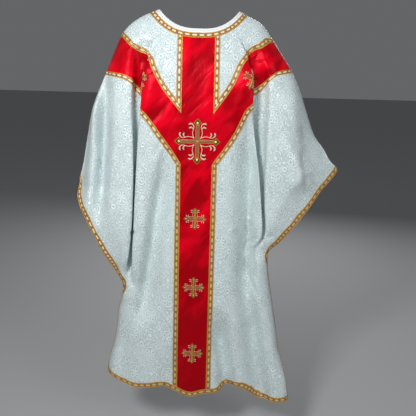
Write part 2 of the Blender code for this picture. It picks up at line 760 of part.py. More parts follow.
def cross(panel, mark, s, t, size, turn, low):
    """A plain cross cut from the panel's own triangles."""
    sheet = Sheet(panel)
    a = math.radians(turn)
    right, up = np.array([math.cos(a), math.sin(a)]), np.array([-math.sin(a), math.cos(a)])
    middle = np.array([s, -t])
    half, wide = size / 2, size * CROSS_ARM / 2

    def reach(p):
        v = np.array([p.x, p.y]) - middle
        return abs(v @ right), abs(v @ up)

    def near(f):
        return min(math.hypot(*reach(v.co)) for v in f.verts) < half or (
            math.hypot(*reach(f.calc_center_median())) < 2 * half
        )

    for way, other in ((right, up), (up, right)):
        for off in (half, -half, wide, -wide):
            p = middle + way * off
            sheet.cut(p, p + other, near)
    sheet.finish()
    faces = []
    for f in sheet.bm.faces:
        x, y = reach(f.calc_center_median())
        if (x < wide and y < half) or (y < wide and x < half):
            faces.append(f)
    solid(sheet, f"cross_{mark}", faces, low, low + TRIM, "embroidery")


def main():
    for thing in list(bpy.data.objects):
        bpy.data.objects.remove(thing, do_unlink=True)
    for panel in ("back", "front"):
        build(panel)


main()
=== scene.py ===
import math

import bmesh
import bpy
import numpy as np
from mathutils import Matrix, Vector


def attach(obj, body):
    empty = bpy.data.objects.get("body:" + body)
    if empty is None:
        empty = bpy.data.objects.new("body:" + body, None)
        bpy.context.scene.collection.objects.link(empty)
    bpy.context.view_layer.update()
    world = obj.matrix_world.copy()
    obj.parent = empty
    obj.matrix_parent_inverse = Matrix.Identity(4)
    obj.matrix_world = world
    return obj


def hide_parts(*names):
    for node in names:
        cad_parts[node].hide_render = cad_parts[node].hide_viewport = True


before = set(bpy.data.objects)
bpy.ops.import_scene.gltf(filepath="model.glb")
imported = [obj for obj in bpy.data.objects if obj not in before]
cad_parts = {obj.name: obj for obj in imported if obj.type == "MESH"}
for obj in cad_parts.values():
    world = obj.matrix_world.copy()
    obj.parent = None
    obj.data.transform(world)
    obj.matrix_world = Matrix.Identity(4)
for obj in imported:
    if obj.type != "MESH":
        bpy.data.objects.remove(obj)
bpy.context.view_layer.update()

# ---------------------------------------------------------------- sizes
NECK_HALF = 0.128
NECK_DROP = {"back": 0.059, "front": 0.125}
NECK_CURVE = {"back": 2.8, "front": 2.3}
SLEEVE_TIP = {"L": -0.565, "R": -0.507}
PILLAR_HALF = 0.050
GALLOON = 0.017
BAND = 0.0135
SEAM_HALF = 0.0004
LATTICE = 0.0025
FIRST = {"back": -0.135, "front": -0.215}
FLOOR = -1.50
SLEEVE_END = {"L": 0.885, "R": 0.750}   # how far down each sleeve reaches
FLAT_FROM = 0.72         # share of the half width from which a sleeve lies flat

GROUND = (0.555, 0.665, 0.675)
FIGURE = (0.855, 0.965, 0.965)
LINE = (0.36, 0.43, 0.44)
# the satin's red in painted shade and in painted light; the satin material blends between the two
RED_PAINTED_SHADE = (0.34, 0.0, 0.003)
RED_PAINTED_LIGHT = (0.78, 0.0, 0.012)

LIGHTS = (
    # name, place, aim, size, power, colour
    ("key", (-0.82, -1.72, 0.55), (0.0, 0.0, -0.30), (0.45, 0.45), 37.0),
    ("fill", (1.9, -2.1, 0.3), (0.0, 0.0, -0.4), (1.2, 1.2), 22.0),
    ("top", (0.0, -0.7, 1.9), (0.0, 0.0, -0.3), (1.2, 1.2), 3.0),
    ("rear", (0.5, 2.6, 0.5), (0.0, 0.0, -0.6), (1.6, 1.6), 34.0),
)
WORLD = ((0.80, 0.82, 0.84), 0.16)

# Middle of each panel: how far it stands out from the centre plane, and how
# square the level section is (exponent).
PROFILE = (
    # z,     back,  front, power
    (0.00, 0.030, 0.024, 2.4),
    (-0.03, 0.048, 0.038, 2.4),
    (-0.06, 0.066, 0.052, 2.4),
    (-0.10, 0.088, 0.070, 2.4),
    (-0.17, 0.108, 0.094, 2.4),
    (-0.30, 0.120, 0.118, 2.3),
    (-0.60, 0.127, 0.128, 2.3),
    (-0.95, 0.135, 0.134, 3.6),
    (-1.15, 0.145, 0.142, 4.0),
    (-1.36, 0.160, 0.155, 4.0),
)

# Outline of each side: distance from the middle, and how far the back's and the
# front's edge stand off the centre plane (0 along the shoulder seam).
OUTLINE = {
    "L": (
        # z,     x,     back,  front
        (0.00, 0.128, 0.0, 0.0),
        (-0.014, 0.165, 0.0, 0.0),
        (-0.026, 0.190, 0.0, 0.0),
        (-0.049, 0.222, 0.0, 0.0),
        (-0.075, 0.245, 0.0, 0.0),
        (-0.135, 0.273, 0.0, 0.0),
        (-0.199, 0.300, 0.0, 0.0),
        (-0.258, 0.326, 0.0, 0.0),
        (-0.323, 0.350, 0.0, 0.0),
        (-0.426, 0.371, 0.0, 0.0),
        (-0.495, 0.383, 0.0, 0.0),
        (-0.565, 0.399, 0.0, 0.0),
        (-0.605, 0.402, 0.030, 0.020),
        (-0.645, 0.384, 0.072, 0.060),
        (-0.720, 0.343, 0.096, 0.090),
        (-0.800, 0.302, 0.100, 0.095),
        (-0.869, 0.257, 0.100, 0.095),
        (-0.905, 0.241, 0.094, 0.085),
        (-0.950, 0.246, 0.064, 0.060),
        (-1.000, 0.259, 0.042, 0.045),
        (-1.110, 0.274, 0.032, 0.036),
        (-1.220, 0.300, 0.026, 0.034),
        (-1.360, 0.318, 0.022, 0.034),
    ),
    "R": (
        (0.00, 0.128, 0.0, 0.0),
        (-0.018, 0.168, 0.0, 0.0),
        (-0.034, 0.200, 0.0, 0.0),
        (-0.053, 0.217, 0.0, 0.0),
        (-0.075, 0.233, 0.0, 0.0),
        (-0.130, 0.272, 0.0, 0.0),
        (-0.188, 0.312, 0.0, 0.0),
        (-0.251, 0.342, 0.0, 0.0),
        (-0.336, 0.375, 0.0, 0.0),
        (-0.392, 0.400, 0.0, 0.0),
        (-0.436, 0.434, 0.0, 0.0),
        (-0.477, 0.460, 0.0, 0.0),
        (-0.507, 0.487, 0.0, 0.0),
        (-0.535, 0.464, 0.024, 0.012),
        (-0.573, 0.426, 0.046, 0.030),
        (-0.624, 0.388, 0.070, 0.056),
        (-0.690, 0.336, 0.086, 0.080),
        (-0.740, 0.293, 0.090, 0.085),
        (-0.787, 0.250, 0.086, 0.080),
        (-0.835, 0.254, 0.062, 0.060),
        (-0.903, 0.265, 0.044, 0.048),
        (-1.018, 0.287, 0.040, 0.040),
        (-1.136, 0.306, 0.052, 0.040),
        (-1.257, 0.338, 0.092, 0.044),
        (-1.380, 0.356, 0.116, 0.050),
    ),
}

# The deep hanging fold between body and sleeve.  All x from the middle; "out"
# stands proud of the smooth hull, "in" lies behind it.
DEEP_FOLD = {
    ("back", "L"): (
        # z,    edge_x, edge_out, f1_x, f1_in, f2_x, f2_in, nose_x, nose_out
        (-0.10, 0.156, 0.000, 0.170, 0.000, 0.186, 0.000, 0.200, 0.000),
        (-0.135, 0.160, 0.004, 0.155, 0.013, 0.184, 0.013, 0.203, 0.001),
        (-0.21, 0.173, 0.007, 0.159, 0.027, 0.194, 0.031, 0.209, 0.002),
        (-0.30, 0.179, 0.006, 0.166, 0.035, 0.201, 0.038, 0.210, 0.004),
        (-0.41, 0.189, 0.002, 0.181, 0.041, 0.207, 0.045, 0.205, 0.006),
        (-0.50, 0.194, 0.000, 0.196, 0.046, 0.212, 0.046, 0.203, 0.009),
        (-0.62, 0.198, 0.000, 0.201, 0.048, 0.215, 0.046, 0.207, 0.011),
        (-0.70, 0.201, 0.000, 0.205, 0.046, 0.218, 0.044, 0.210, 0.012),
        (-0.787, 0.206, 0.000, 0.211, 0.038, 0.224, 0.036, 0.218, 0.010),
        (-0.86, 0.206, 0.000, 0.215, 0.018, 0.225, 0.016, 0.232, 0.004),
        (-0.93, 0.190, 0.000, 0.200, 0.000, 0.208, 0.000, 0.215, 0.000),
        (-1.06, 0.225, 0.000, 0.236, 0.000, 0.245, 0.000, 0.252, 0.000),
        (-1.36, 0.270, 0.000, 0.281, 0.000, 0.290, 0.000, 0.297, 0.000),
    ),
    ("back", "R"): (
        (-0.10, 0.152, 0.000, 0.166, 0.000, 0.186, 0.000, 0.206, 0.000),
        (-0.135, 0.158, 0.006, 0.156, 0.012, 0.190, 0.012, 0.212, 0.000),
        (-0.21, 0.173, 0.011, 0.162, 0.023, 0.209, 0.029, 0.228, 0.000),
        (-0.30, 0.176, 0.012, 0.166, 0.029, 0.214, 0.036, 0.230, 0.000),
        (-0.41, 0.189, 0.012, 0.181, 0.033, 0.218, 0.039, 0.230, 0.000),
        (-0.507, 0.204, 0.012, 0.203, 0.038, 0.220, 0.040, 0.228, -0.004),
        (-0.62, 0.216, 0.010, 0.216, 0.040, 0.228, 0.040, 0.232, -0.006),
        (-0.70, 0.222, 0.006, 0.224, 0.028, 0.234, 0.028, 0.240, -0.004),
        (-0.787, 0.196, 0.000, 0.206, 0.002, 0.214, 0.002, 0.221, 0.000),
        (-0.86, 0.205, 0.000, 0.216, 0.000, 0.225, 0.000, 0.231, 0.000),
        (-1.02, 0.262, 0.000, 0.273, 0.000, 0.282, 0.000, 0.288, 0.000),
        (-1.38, 0.310, 0.000, 0.322, 0.000, 0.332, 0.000, 0.338, 0.000),
    ),
    ("front", "L"): (
        (-0.15, 0.162, 0.000, 0.173, 0.000, 0.195, 0.000, 0.210, 0.000),
        (-0.215, 0.166, 0.002, 0.177, 0.004, 0.200, 0.004, 0.216, 0.000),
        (-0.30, 0.180, 0.008, 0.181, 0.020, 0.210, 0.026, 0.226, 0.000),
        (-0.41, 0.192, 0.010, 0.192, 0.036, 0.218, 0.040, 0.229, 0.000),
        (-0.56, 0.204, 0.010, 0.204, 0.042, 0.223, 0.044, 0.231, 0.000),
        (-0.70, 0.212, 0.006, 0.214, 0.038, 0.229, 0.038, 0.237, -0.002),
        (-0.787, 0.212, 0.004, 0.217, 0.026, 0.229, 0.026, 0.236, 0.000),
        (-0.86, 0.206, 0.000, 0.215, 0.010, 0.225, 0.008, 0.232, 0.000),
        (-0.93, 0.190, 0.000, 0.200, 0.000, 0.208, 0.000, 0.215, 0.000),
        (-1.06, 0.225, 0.000, 0.236, 0.000, 0.245, 0.000, 0.252, 0.000),
        (-1.36, 0.270, 0.000, 0.281, 0.000, 0.290, 0.000, 0.297, 0.000),
    ),
    ("front", "R"): (
        (-0.15, 0.162, 0.000, 0.173, 0.000, 0.190, 0.000, 0.205, 0.000),
        (-0.215, 0.166, 0.002, 0.177, 0.004, 0.196, 0.004, 0.210, 0.000),
        (-0.30, 0.180, 0.004, 0.183, 0.022, 0.203, 0.024, 0.216, 0.003),
        (-0.41, 0.191, 0.002, 0.194, 0.038, 0.211, 0.042, 0.212, 0.006),
        (-0.52, 0.202, 0.000, 0.206, 0.042, 0.219, 0.042, 0.212, 0.009),
        (-0.62, 0.208, 0.000, 0.213, 0.038, 0.226, 0.036, 0.220, 0.009),
        (-0.70, 0.214, 0.000, 0.220, 0.026, 0.232, 0.024, 0.232, 0.004),
        (-0.787, 0.196, 0.000, 0.206, 0.002, 0.214, 0.002, 0.221, 0.000),
        (-0.86, 0.205, 0.000, 0.216, 0.000, 0.225, 0.000, 0.231, 0.000),
        (-1.02, 0.262, 0.000, 0.273, 0.000, 0.282, 0.000, 0.288, 0.000),
        (-1.38, 0.310, 0.000, 0.322, 0.000, 0.332, 0.000, 0.338, 0.000),
    ),
}

# Softer folds: a trough (depth > 0) or a ridge (depth < 0) that runs from its
# top to its bottom point.  x is signed: the left of the back view is negative.
FOLDS = {
    "back": (
        # z top, x top, z bottom, x bottom, depth, width left of it, width right
        (-0.36, -0.086, -1.08, -0.188, 0.042, 0.022, 0.036),
        (-1.00, -0.225, -1.42, -0.252, 0.012, 0.034, 0.034),
        (-0.22, 0.168, -1.04, 0.190, 0.062, 0.036, 0.018),
        (-0.88, 0.184, -1.42, 0.271, 0.049, 0.042, 0.026),
        (-0.96, 0.078, -1.38, 0.138, 0.042, 0.022, 0.030),
        (-1.08, -0.052, -1.44, -0.070, 0.012, 0.040, 0.030),
        (-0.11, -0.322, -0.72, -0.360, -0.028, 0.030, 0.024),
        (-0.13, -0.292, -0.72, -0.322, 0.042, 0.026, 0.020),
        (-0.16, 0.288, -0.62, 0.356, -0.018, 0.060, 0.030),
    ),
    "front": (
        (-0.36, -0.120, -1.42, -0.170, 0.020, 0.036, 0.036),
        (-0.70, -0.215, -1.42, -0.250, -0.016, 0.032, 0.032),
        (-0.30, 0.115, -1.42, 0.150, 0.018, 0.034, 0.034),
        (-0.80, 0.235, -1.42, 0.270, -0.018, 0.034, 0.034),
        (-1.00, 0.010, -1.42, 0.010, -0.012, 0.060, 0.060),
        (-0.18, -0.285, -0.70, -0.320, 0.014, 0.022, 0.028),
        (-0.18, 0.290, -0.60, 0.340, 0.014, 0.028, 0.022),
    ),
}

# Height of the hem, by signed distance from the middle.
HEM = (
    # x,     z
    (-0.36, -1.222),
    (-0.30, -1.238),
    (-0.27, -1.250),
    (-0.245, -1.261),
    (-0.20, -1.270),
    (-0.15, -1.267),
    (-0.10, -1.262),
    (-0.06, -1.283),
    (0.00, -1.297),
    (0.045, -1.286),
    (0.083, -1.283),
    (0.12, -1.275),
    (0.16, -1.262),
    (0.19, -1.274),
    (0.22, -1.304),
    (0.25, -1.325),
    (0.28, -1.324),
    (0.38, -1.322),
)

# Rows that fan out above them: how far down the panel in the middle from the neck
# edge, and the height at the shoulder seam.
YOKE = {
    "back": ((0.0, 0.0), (0.0135, 0.005), (0.0305, 0.0115), (0.052, 0.034), (0.068, 0.072)),
    "front": ((0.0, 0.0), (0.0135, 0.005), (0.0305, 0.0115), (0.043, 0.034),
              (0.054, 0.072), (0.066, 0.135)),
}


# The galloons' red-side lines: heights where each leaves the pillar and crosses
# the middle of the body part, the fold's two edges, the sleeve and the seam.
LINES = {
    # pillar, mid, b0, B, f2, nose, n0, wing, edge
    ("back", "L", "above"): (-0.319, -0.242, -0.182, -0.153, -0.135, -0.127, -0.116, -0.099, -0.082),
    ("back", "R", "above"): (-0.319, -0.229, -0.164, -0.146, -0.120, -0.114, -0.105, -0.096, -0.090),
    ("back", "L", "below"): (-0.477, -0.378, -0.325, -0.305, -0.236, -0.215, -0.204, -0.199, -0.197),
    ("back", "R", "below"): (-0.477, -0.376, -0.301, -0.279, -0.218, -0.200, -0.185, -0.177, -0.174),
    ("front", "L", "above"): (-0.322, -0.250, -0.190, -0.166, -0.140, -0.132, -0.118, -0.098, -0.078),
    ("front", "R", "above"): (-0.322, -0.250, -0.192, -0.168, -0.142, -0.132, -0.120, -0.104, -0.090),
    ("front", "L", "below"): (-0.490, -0.396, -0.336, -0.312, -0.252, -0.236, -0.214, -0.200, -0.193),
    ("front", "R", "below"): (-0.490, -0.392, -0.330, -0.306, -0.242, -0.226, -0.202, -0.184, -0.174),
}

# Crosses on the back's orphrey, by place on the flat panel.
CROSSES = (
    # name,      across,  down,  size,  turn in degrees
    ("large", 0.002, 0.405, 0.146, 0.0),
    ("small_1", 0.000, 0.658, 0.074, 0.0),
    ("small_2", 0.000, 0.897, 0.074, 0.0),
    ("small_3", 0.000, 1.137, 0.074, 0.0),
    ("arm_left", -0.191, 0.216, 0.070, 24.0),
    ("arm_right", 0.172, 0.202, 0.070, -18.0),
)

# Finer creases: a line of (x, z) places, how deep (- stands proud) and how wide.
CREASES = {
    "back": (
        (((-0.100, -0.38), (-0.142, -0.47)), 0.0035, 0.009),
        (((-0.345, -0.40), (-0.325, -0.52)), -0.0030, 0.010),
        (((-0.216, -0.71), (-0.190, -0.715)), 0.0035, 0.006),
        (((0.345, -0.42), (0.370, -0.56)), 0.0045, 0.012),
        (((0.235, -0.725), (0.268, -0.720)), 0.0025, 0.009),
        (((0.175, -0.66), (0.200, -0.675)), -0.0020, 0.009),
        (((0.110, -0.70), (0.140, -0.69)), -0.0025, 0.006),
        (((0.060, -1.10), (0.075, -1.22), (0.115, -1.265), (0.17, -1.28)), 0.0060, 0.012),
        (((-0.285, -0.195), (-0.225, -0.200)), 0.0030, 0.006),
        (((-0.190, -0.100), (-0.178, -0.190)), 0.007, 0.022),
        (((-0.150, -0.095), (-0.142, -0.190)), 0.0060, 0.016),
        (((0.168, -0.095), (0.180, -0.185)), 0.008, 0.020),
        (((0.130, -0.095), (0.128, -0.180)), 0.0060, 0.016),
    ),
    "front": (
        (((-0.110, -0.45), (-0.150, -0.56)), 0.0030, 0.009),
        (((0.120, -0.70), (0.150, -0.69)), -0.0025, 0.006),
    ),
}


# ------------------------------------------------------- smooth tables
class Curve:
    """A table read through a smooth curve that doesn't overshoot, for whole arrays."""

    def __init__(self, rows):
        rows = sorted(rows)
        self.z = np.array([r[0] for r in rows], float)
        self.v = np.array([r[1:] for r in rows], float)
        self.h = np.diff(self.z)
        d = np.diff(self.v, axis=0) / self.h[:, None]
        m = np.zeros_like(self.v)
        m[0], m[-1] = d[0], d[-1]
        a, b = d[:-1], d[1:]
        total = np.where(a + b == 0, 1, a + b)
        m[1:-1] = np.where(a * b > 0, 2 * a * b / total, 0.0)
        self.m = m

    def __call__(self, at):
        at = np.clip(np.asarray(at, float), self.z[0], self.z[-1])
        i = np.clip(np.searchsorted(self.z, at) - 1, 0, len(self.h) - 1)
        h = self.h[i][..., None]
        t = (at - self.z[i])[..., None] / h
        return (
            (2 * t**3 - 3 * t**2 + 1) * self.v[i]
            + (t**3 - 2 * t**2 + t) * h * self.m[i]
            + (-2 * t**3 + 3 * t**2) * self.v[i + 1]
            + (t**3 - t**2) * h * self.m[i + 1]
        )


profile = Curve(PROFILE)
outline = {side: Curve(rows) for side, rows in OUTLINE.items()}
deep = {key: Curve(rows) for key, rows in DEEP_FOLD.items()}
hem = Curve(HEM)


def ease(t):
    t = np.clip(t, 0.0, 1.0)
    return t * t * (3 - 2 * t)


def hull(panel, side, x, z):
    p = profile(z)
    middle, power = (p[..., 0] if panel == "back" else p[..., 1]), p[..., 2]
    o = outline[side](z)
    edge = o[..., 1] if panel == "back" else o[..., 2]
    share = np.clip(x / o[..., 0], 0.0, 1.0)
    bow = np.maximum(1 - share**power, 0) ** (1 / power)
    # the hanging sleeves' edges lie flatter than the shoulders
    knee = (1 - FLAT_FROM**power) ** (1 / power)
    line = knee * (1 - share) / (1 - FLAT_FROM)
    flatter = ease((-z - 0.30) / 0.15) * ease((share - FLAT_FROM + 0.06) / 0.12)
    flatter = flatter * (1 - ease((-z - SLEEVE_END[side]) / 0.07))
    bow = bow + (line - bow) * flatter
    return edge + (middle - edge) * bow


def soft(panel, side, x, z):
    signed = -x if side == "L" else x
    out = np.zeros(np.broadcast(x, z).shape)
    for z0, x0, z1, x1, depth, width_a, width_b in FOLDS[panel]:
        along = (z0 - z) / (z0 - z1)
        ramp = ease(along / 0.35) * ease((1 - along) / 0.25)
        ramp = np.where((along > -0.05) & (along < 1.05), ramp, 0.0)
        middle = x0 + (x1 - x0) * along
        width = np.where(signed < middle, width_a, width_b)
        out -= depth * ramp * np.exp(-(((signed - middle) / width) ** 2))
    return out


def surface(panel, side, x, z):
    return hull(panel, side, x, z) + soft(panel, side, x, z)


# ------------------------------------------------- columns of one side
# Each column is (kind, value): 0 a place between the middle and the fold, 1 a
# place along the fold's own curve, 2 a share of the sleeve.
LIP = 0.0065
COLUMNS, MARK = [], {}


def _columns():
    def add(kind, values):
        COLUMNS.extend((kind, float(v)) for v in values)

    MARK["middle"] = 0
    add(0, np.linspace(-2, -1, 13)[:-1])          # middle to pillar line
    MARK["red"] = len(COLUMNS)
    add(0, np.linspace(-1, 0, 5)[:-1])            # under the pillar's galloon
    MARK["outer"] = len(COLUMNS)
    body = np.linspace(0, 1, 27)
    add(0, body[:-1])
    MARK["mid"] = MARK["outer"] + 14
    MARK["b0"] = len(COLUMNS)
    for k, count in enumerate((9, 11, 5, 11, 9)):
        MARK[("b0", "B", "f1", "f2", "nose")[k]] = len(COLUMNS)
        add(1, k + np.linspace(0, 1, count + 1)[:-1])
    MARK["n0"] = len(COLUMNS)
    q = 1 - (1 - np.linspace(0, 1, 41)) ** 1.5
    add(2, q)
    MARK["wing"] = MARK["n0"] + int(np.argmin(np.abs(q - 0.52)))
    MARK["edge"] = len(COLUMNS) - 1


_columns()
KIND = np.array([c[0] for c in COLUMNS])
VALUE = np.array([c[1] for c in COLUMNS])
ACROSS = len(COLUMNS)


def fold_knots(panel, side, z):
    """The knots of the deep fold's section at heights z: the last axis is (x, out)."""
    d = deep[panel, side](z)
    bx, b_out, f1x, f1_in, f2x, f2_in, nx, n_out = (d[..., k] for k in range(8))
    ex = outline[side](z)[..., 0]
    at = lambda x: surface(panel, side, x, z)
    b0 = bx - 0.022
    lip = LIP * np.minimum(1.0, (f1_in + f2_in) / 0.03)
    n0 = nx + np.minimum(0.022, 0.4 * (ex - nx))
    rows = [
        (b0 - 0.016, at(b0 - 0.016) + 0.75 * b_out),
        (b0, at(b0) + b_out),
        (bx, at(bx) + b_out - lip),
        (f1x, at(f1x) - f1_in),
        (f2x, at(np.minimum(f2x, ex)) - f2_in),
        (nx, at(nx) + n_out - lip),
        (n0, at(n0) + n_out),
        (n0 + 0.016, at(n0 + 0.016) + 0.75 * n_out),
    ]
    return np.stack([np.stack(r, axis=-1) for r in rows], axis=-2)


def spread(points, value):
    """A smooth curve through the knots 1..6 of the last-but-one axis, at value 0..5."""
    k = np.clip(np.floor(value).astype(int), 0, 4)
    u = value - k
    take = lambda o: np.take_along_axis(points, (k + o)[..., None, None] + 0 * points[..., :1, :].astype(int), axis=-2)[..., 0, :]
    p0, p1, p2, p3 = take(0), take(1), take(2), take(3)
    h0 = np.sqrt(np.linalg.norm(p1 - p0, axis=-1, keepdims=True)) + 1e-6
    h1 = np.sqrt(np.linalg.norm(p2 - p1, axis=-1, keepdims=True)) + 1e-6
    h2 = np.sqrt(np.linalg.norm(p3 - p2, axis=-1, keepdims=True)) + 1e-6
    m1 = ((p1 - p0) / h0 * h1 + (p2 - p1) / h1 * h0) / (h0 + h1) * h1
    m2 = ((p2 - p1) / h1 * h2 + (p3 - p2) / h2 * h1) / (h1 + h2) * h1
    u = u[..., None]
    return (
        (2 * u**3 - 3 * u**2 + 1) * p1
        + (u**3 - 2 * u**2 + u) * m1
        + (-2 * u**3 + 3 * u**2) * p2
        + (u**3 - u**2) * m2
    )


def side_points(panel, side, z):
    """The level section's points at heights z (rows by columns): x and out."""
    z = np.asarray(z, float)
    x, y = np.zeros(z.shape), np.zeros(z.shape)
    o = outline[side](z)
    ex, edge = o[..., 0], (o[..., 1] if panel == "back" else o[..., 2])
    knots = fold_knots(panel, side, z)
    b0, n0 = knots[..., 1, 0], knots[..., 6, 0]
    d = deep[panel, side](z)
    # between the middle and the fold
    v = VALUE[None, :] + 0 * z
    ax = np.where(
        v < -1,
        (v + 2) * PILLAR_HALF,
        np.where(v < 0, PILLAR_HALF + (v + 1) * GALLOON, PILLAR_HALF + GALLOON + v * (b0 - PILLAR_HALF - GALLOON)),
    )
    ay = surface(panel, side, ax, z) + d[..., 1] * ease((v - 0.45) / 0.55)
    by = spread(knots, np.where(KIND[None, :] == 1, v, 0.0))
    q = np.where(KIND[None, :] == 2, v, 0.0)
    cx = n0 + (ex - n0) * q
    fade = 1 - ease((q - 0.86) / 0.14)
    cy = hull(panel, side, cx, z) + soft(panel, side, cx, z) * fade + d[..., 7] * (1 - q) ** 2
    kind = KIND[None, :] + 0 * z.astype(int)
    x = np.where(kind == 0, ax, np.where(kind == 1, by[..., 0], cx))
    y = np.where(kind == 0, ay, np.where(kind == 1, by[..., 1], cy))
    return x, y


# ------------------------------------------------------------ one panel
STEP = 0.0055


def side_grid(panel, side):
    drop, power = NECK_DROP[panel], NECK_CURVE[panel]
    lean = 0.90 if panel == "back" else 0.95
    first = FIRST[panel]
    # the yoke's fanning rows, by a running number 0..len(fans)
    fans = [(-drop - m * lean, -s, power + (2.0 - power) * min(1.0, s / 0.10)) for m, s in YOKE[panel]]
    fans.append((first, first, 2.0))
    fan = Curve([(k, *f) for k, f in enumerate(fans)])
    base_x, base_y = side_points(panel, side, np.full((1, ACROSS), first))
    base_x, base_y = base_x[0], base_y[0]
    extra = base_y - surface(panel, side, base_x, np.full(ACROSS, first))
    edge_first = base_x[-1]
    share = np.where(base_x > 0.0672, (base_x - 0.067) / (edge_first - 0.067), -1.0)
    runs = np.concatenate([
        np.linspace(0, 1, 4)[:-1],
        np.linspace(1, 2, 5)[:-1],
        np.concatenate([
            np.linspace(k, k + 1, max(3, int(round((fans[k][1] - fans[k + 1][1]) / STEP))) + 1)[:-1]
            for k in range(2, len(fans) - 1)
        ]),
    ])
    X, Y, Z = [], [], []
    for k in runs:
        z_mid, z_edge, p_row = fan(k)
        reach = float(outline[side](z_edge)[0]) if k > 1e-9 else NECK_HALF
        if k < 1:
            reach = NECK_HALF + (float(outline[side](fans[1][1])[0]) - NECK_HALF) * k
        x = np.where(share < 0, base_x, 0.067 + (reach - 0.067) * share)
        f = np.clip(x / reach, 0, 1)
        z = z_mid + (z_edge - z_mid) * f**p_row
        y = surface(panel, side, x, z)
        y = y + extra * ease((k - 2.5) / (len(fans) - 1 - 2.5))
        y[-1] = 0.0
        X.append(x), Y.append(y), Z.append(z)
    levels = np.linspace(first, -1.20, int(round((first + 1.20) / STEP)) + 1)
    zz = np.repeat(levels[:, None], ACROSS, axis=1)
    # each column then runs down to the hem
    low = np.full(ACROSS, -1.29)
    for _ in range(4):
        x, _y = side_points(panel, side, low[None, :])
        low = hem(-x[0] if side == "L" else x[0])[..., 0]
    down = np.linspace(0, 1, 20)[1:, None]
    zz = np.concatenate([zz, -1.20 + (low + 1.20)[None, :] * down])
    x, y = side_points(panel, side, zz)
    tip = SLEEVE_TIP[side]
    y[:, -1] = np.where(zz[:, -1] > tip - 0.0005, 0.0, y[:, -1])
    X, Y, Z = np.concatenate([X, x]), np.concatenate([Y, y]), np.concatenate([Z, zz])
    return np.stack([X, Y, Z], axis=-1), len(runs)


def smooth_noise(x, z, seed, size):
    """Gentle unevenness of hanging cloth, the same on every run."""
    rng = np.random.default_rng(seed)
    out = np.zeros(np.broadcast(x, z).shape)
    for _ in range(9):
        a = rng.uniform(0, 2 * math.pi)
        k = 2 * math.pi / (size * rng.uniform(0.7, 1.6))
        out += rng.uniform(0.4, 1.0) * np.sin(k * (np.cos(a) * x + 0.55 * np.sin(a) * z) + rng.uniform(0, 6.3))
    return out / 3.0


def creases(panel, x, z):
    """What the finer creases add, by distance from each one's line."""
    out = np.zeros(x.shape)
    for line, depth, width in CREASES[panel]:
        p = np.array(line, float)
        best = np.full(x.shape, 1e9)
        where = np.zeros(x.shape)
        s = np.concatenate([[0], np.cumsum(np.linalg.norm(np.diff(p, axis=0), axis=1))])
        for k in range(len(p) - 1):
            d = p[k + 1] - p[k]
            t = np.clip(((x - p[k, 0]) * d[0] + (z - p[k, 1]) * d[1]) / (d @ d), 0, 1)
            far = np.hypot(x - p[k, 0] - t * d[0], z - p[k, 1] - t * d[1])
            nearer = far < best
            best = np.where(nearer, far, best)
            where = np.where(nearer, (s[k] + t * (s[k + 1] - s[k])) / s[-1], where)
        taper = ease(where / 0.3) * ease((1 - where) / 0.3)
        out -= depth * taper * np.exp(-((best / width) ** 2))
    return out


def vertex_normals(grid, panel):
    e1 = np.gradient(grid, axis=1)
    e0 = np.gradient(grid, axis=0)
    n = np.cross(e1, -e0)
    if panel == "front":
        n = -n
    return n / np.maximum(np.linalg.norm(n, axis=2, keepdims=True), 1e-12)


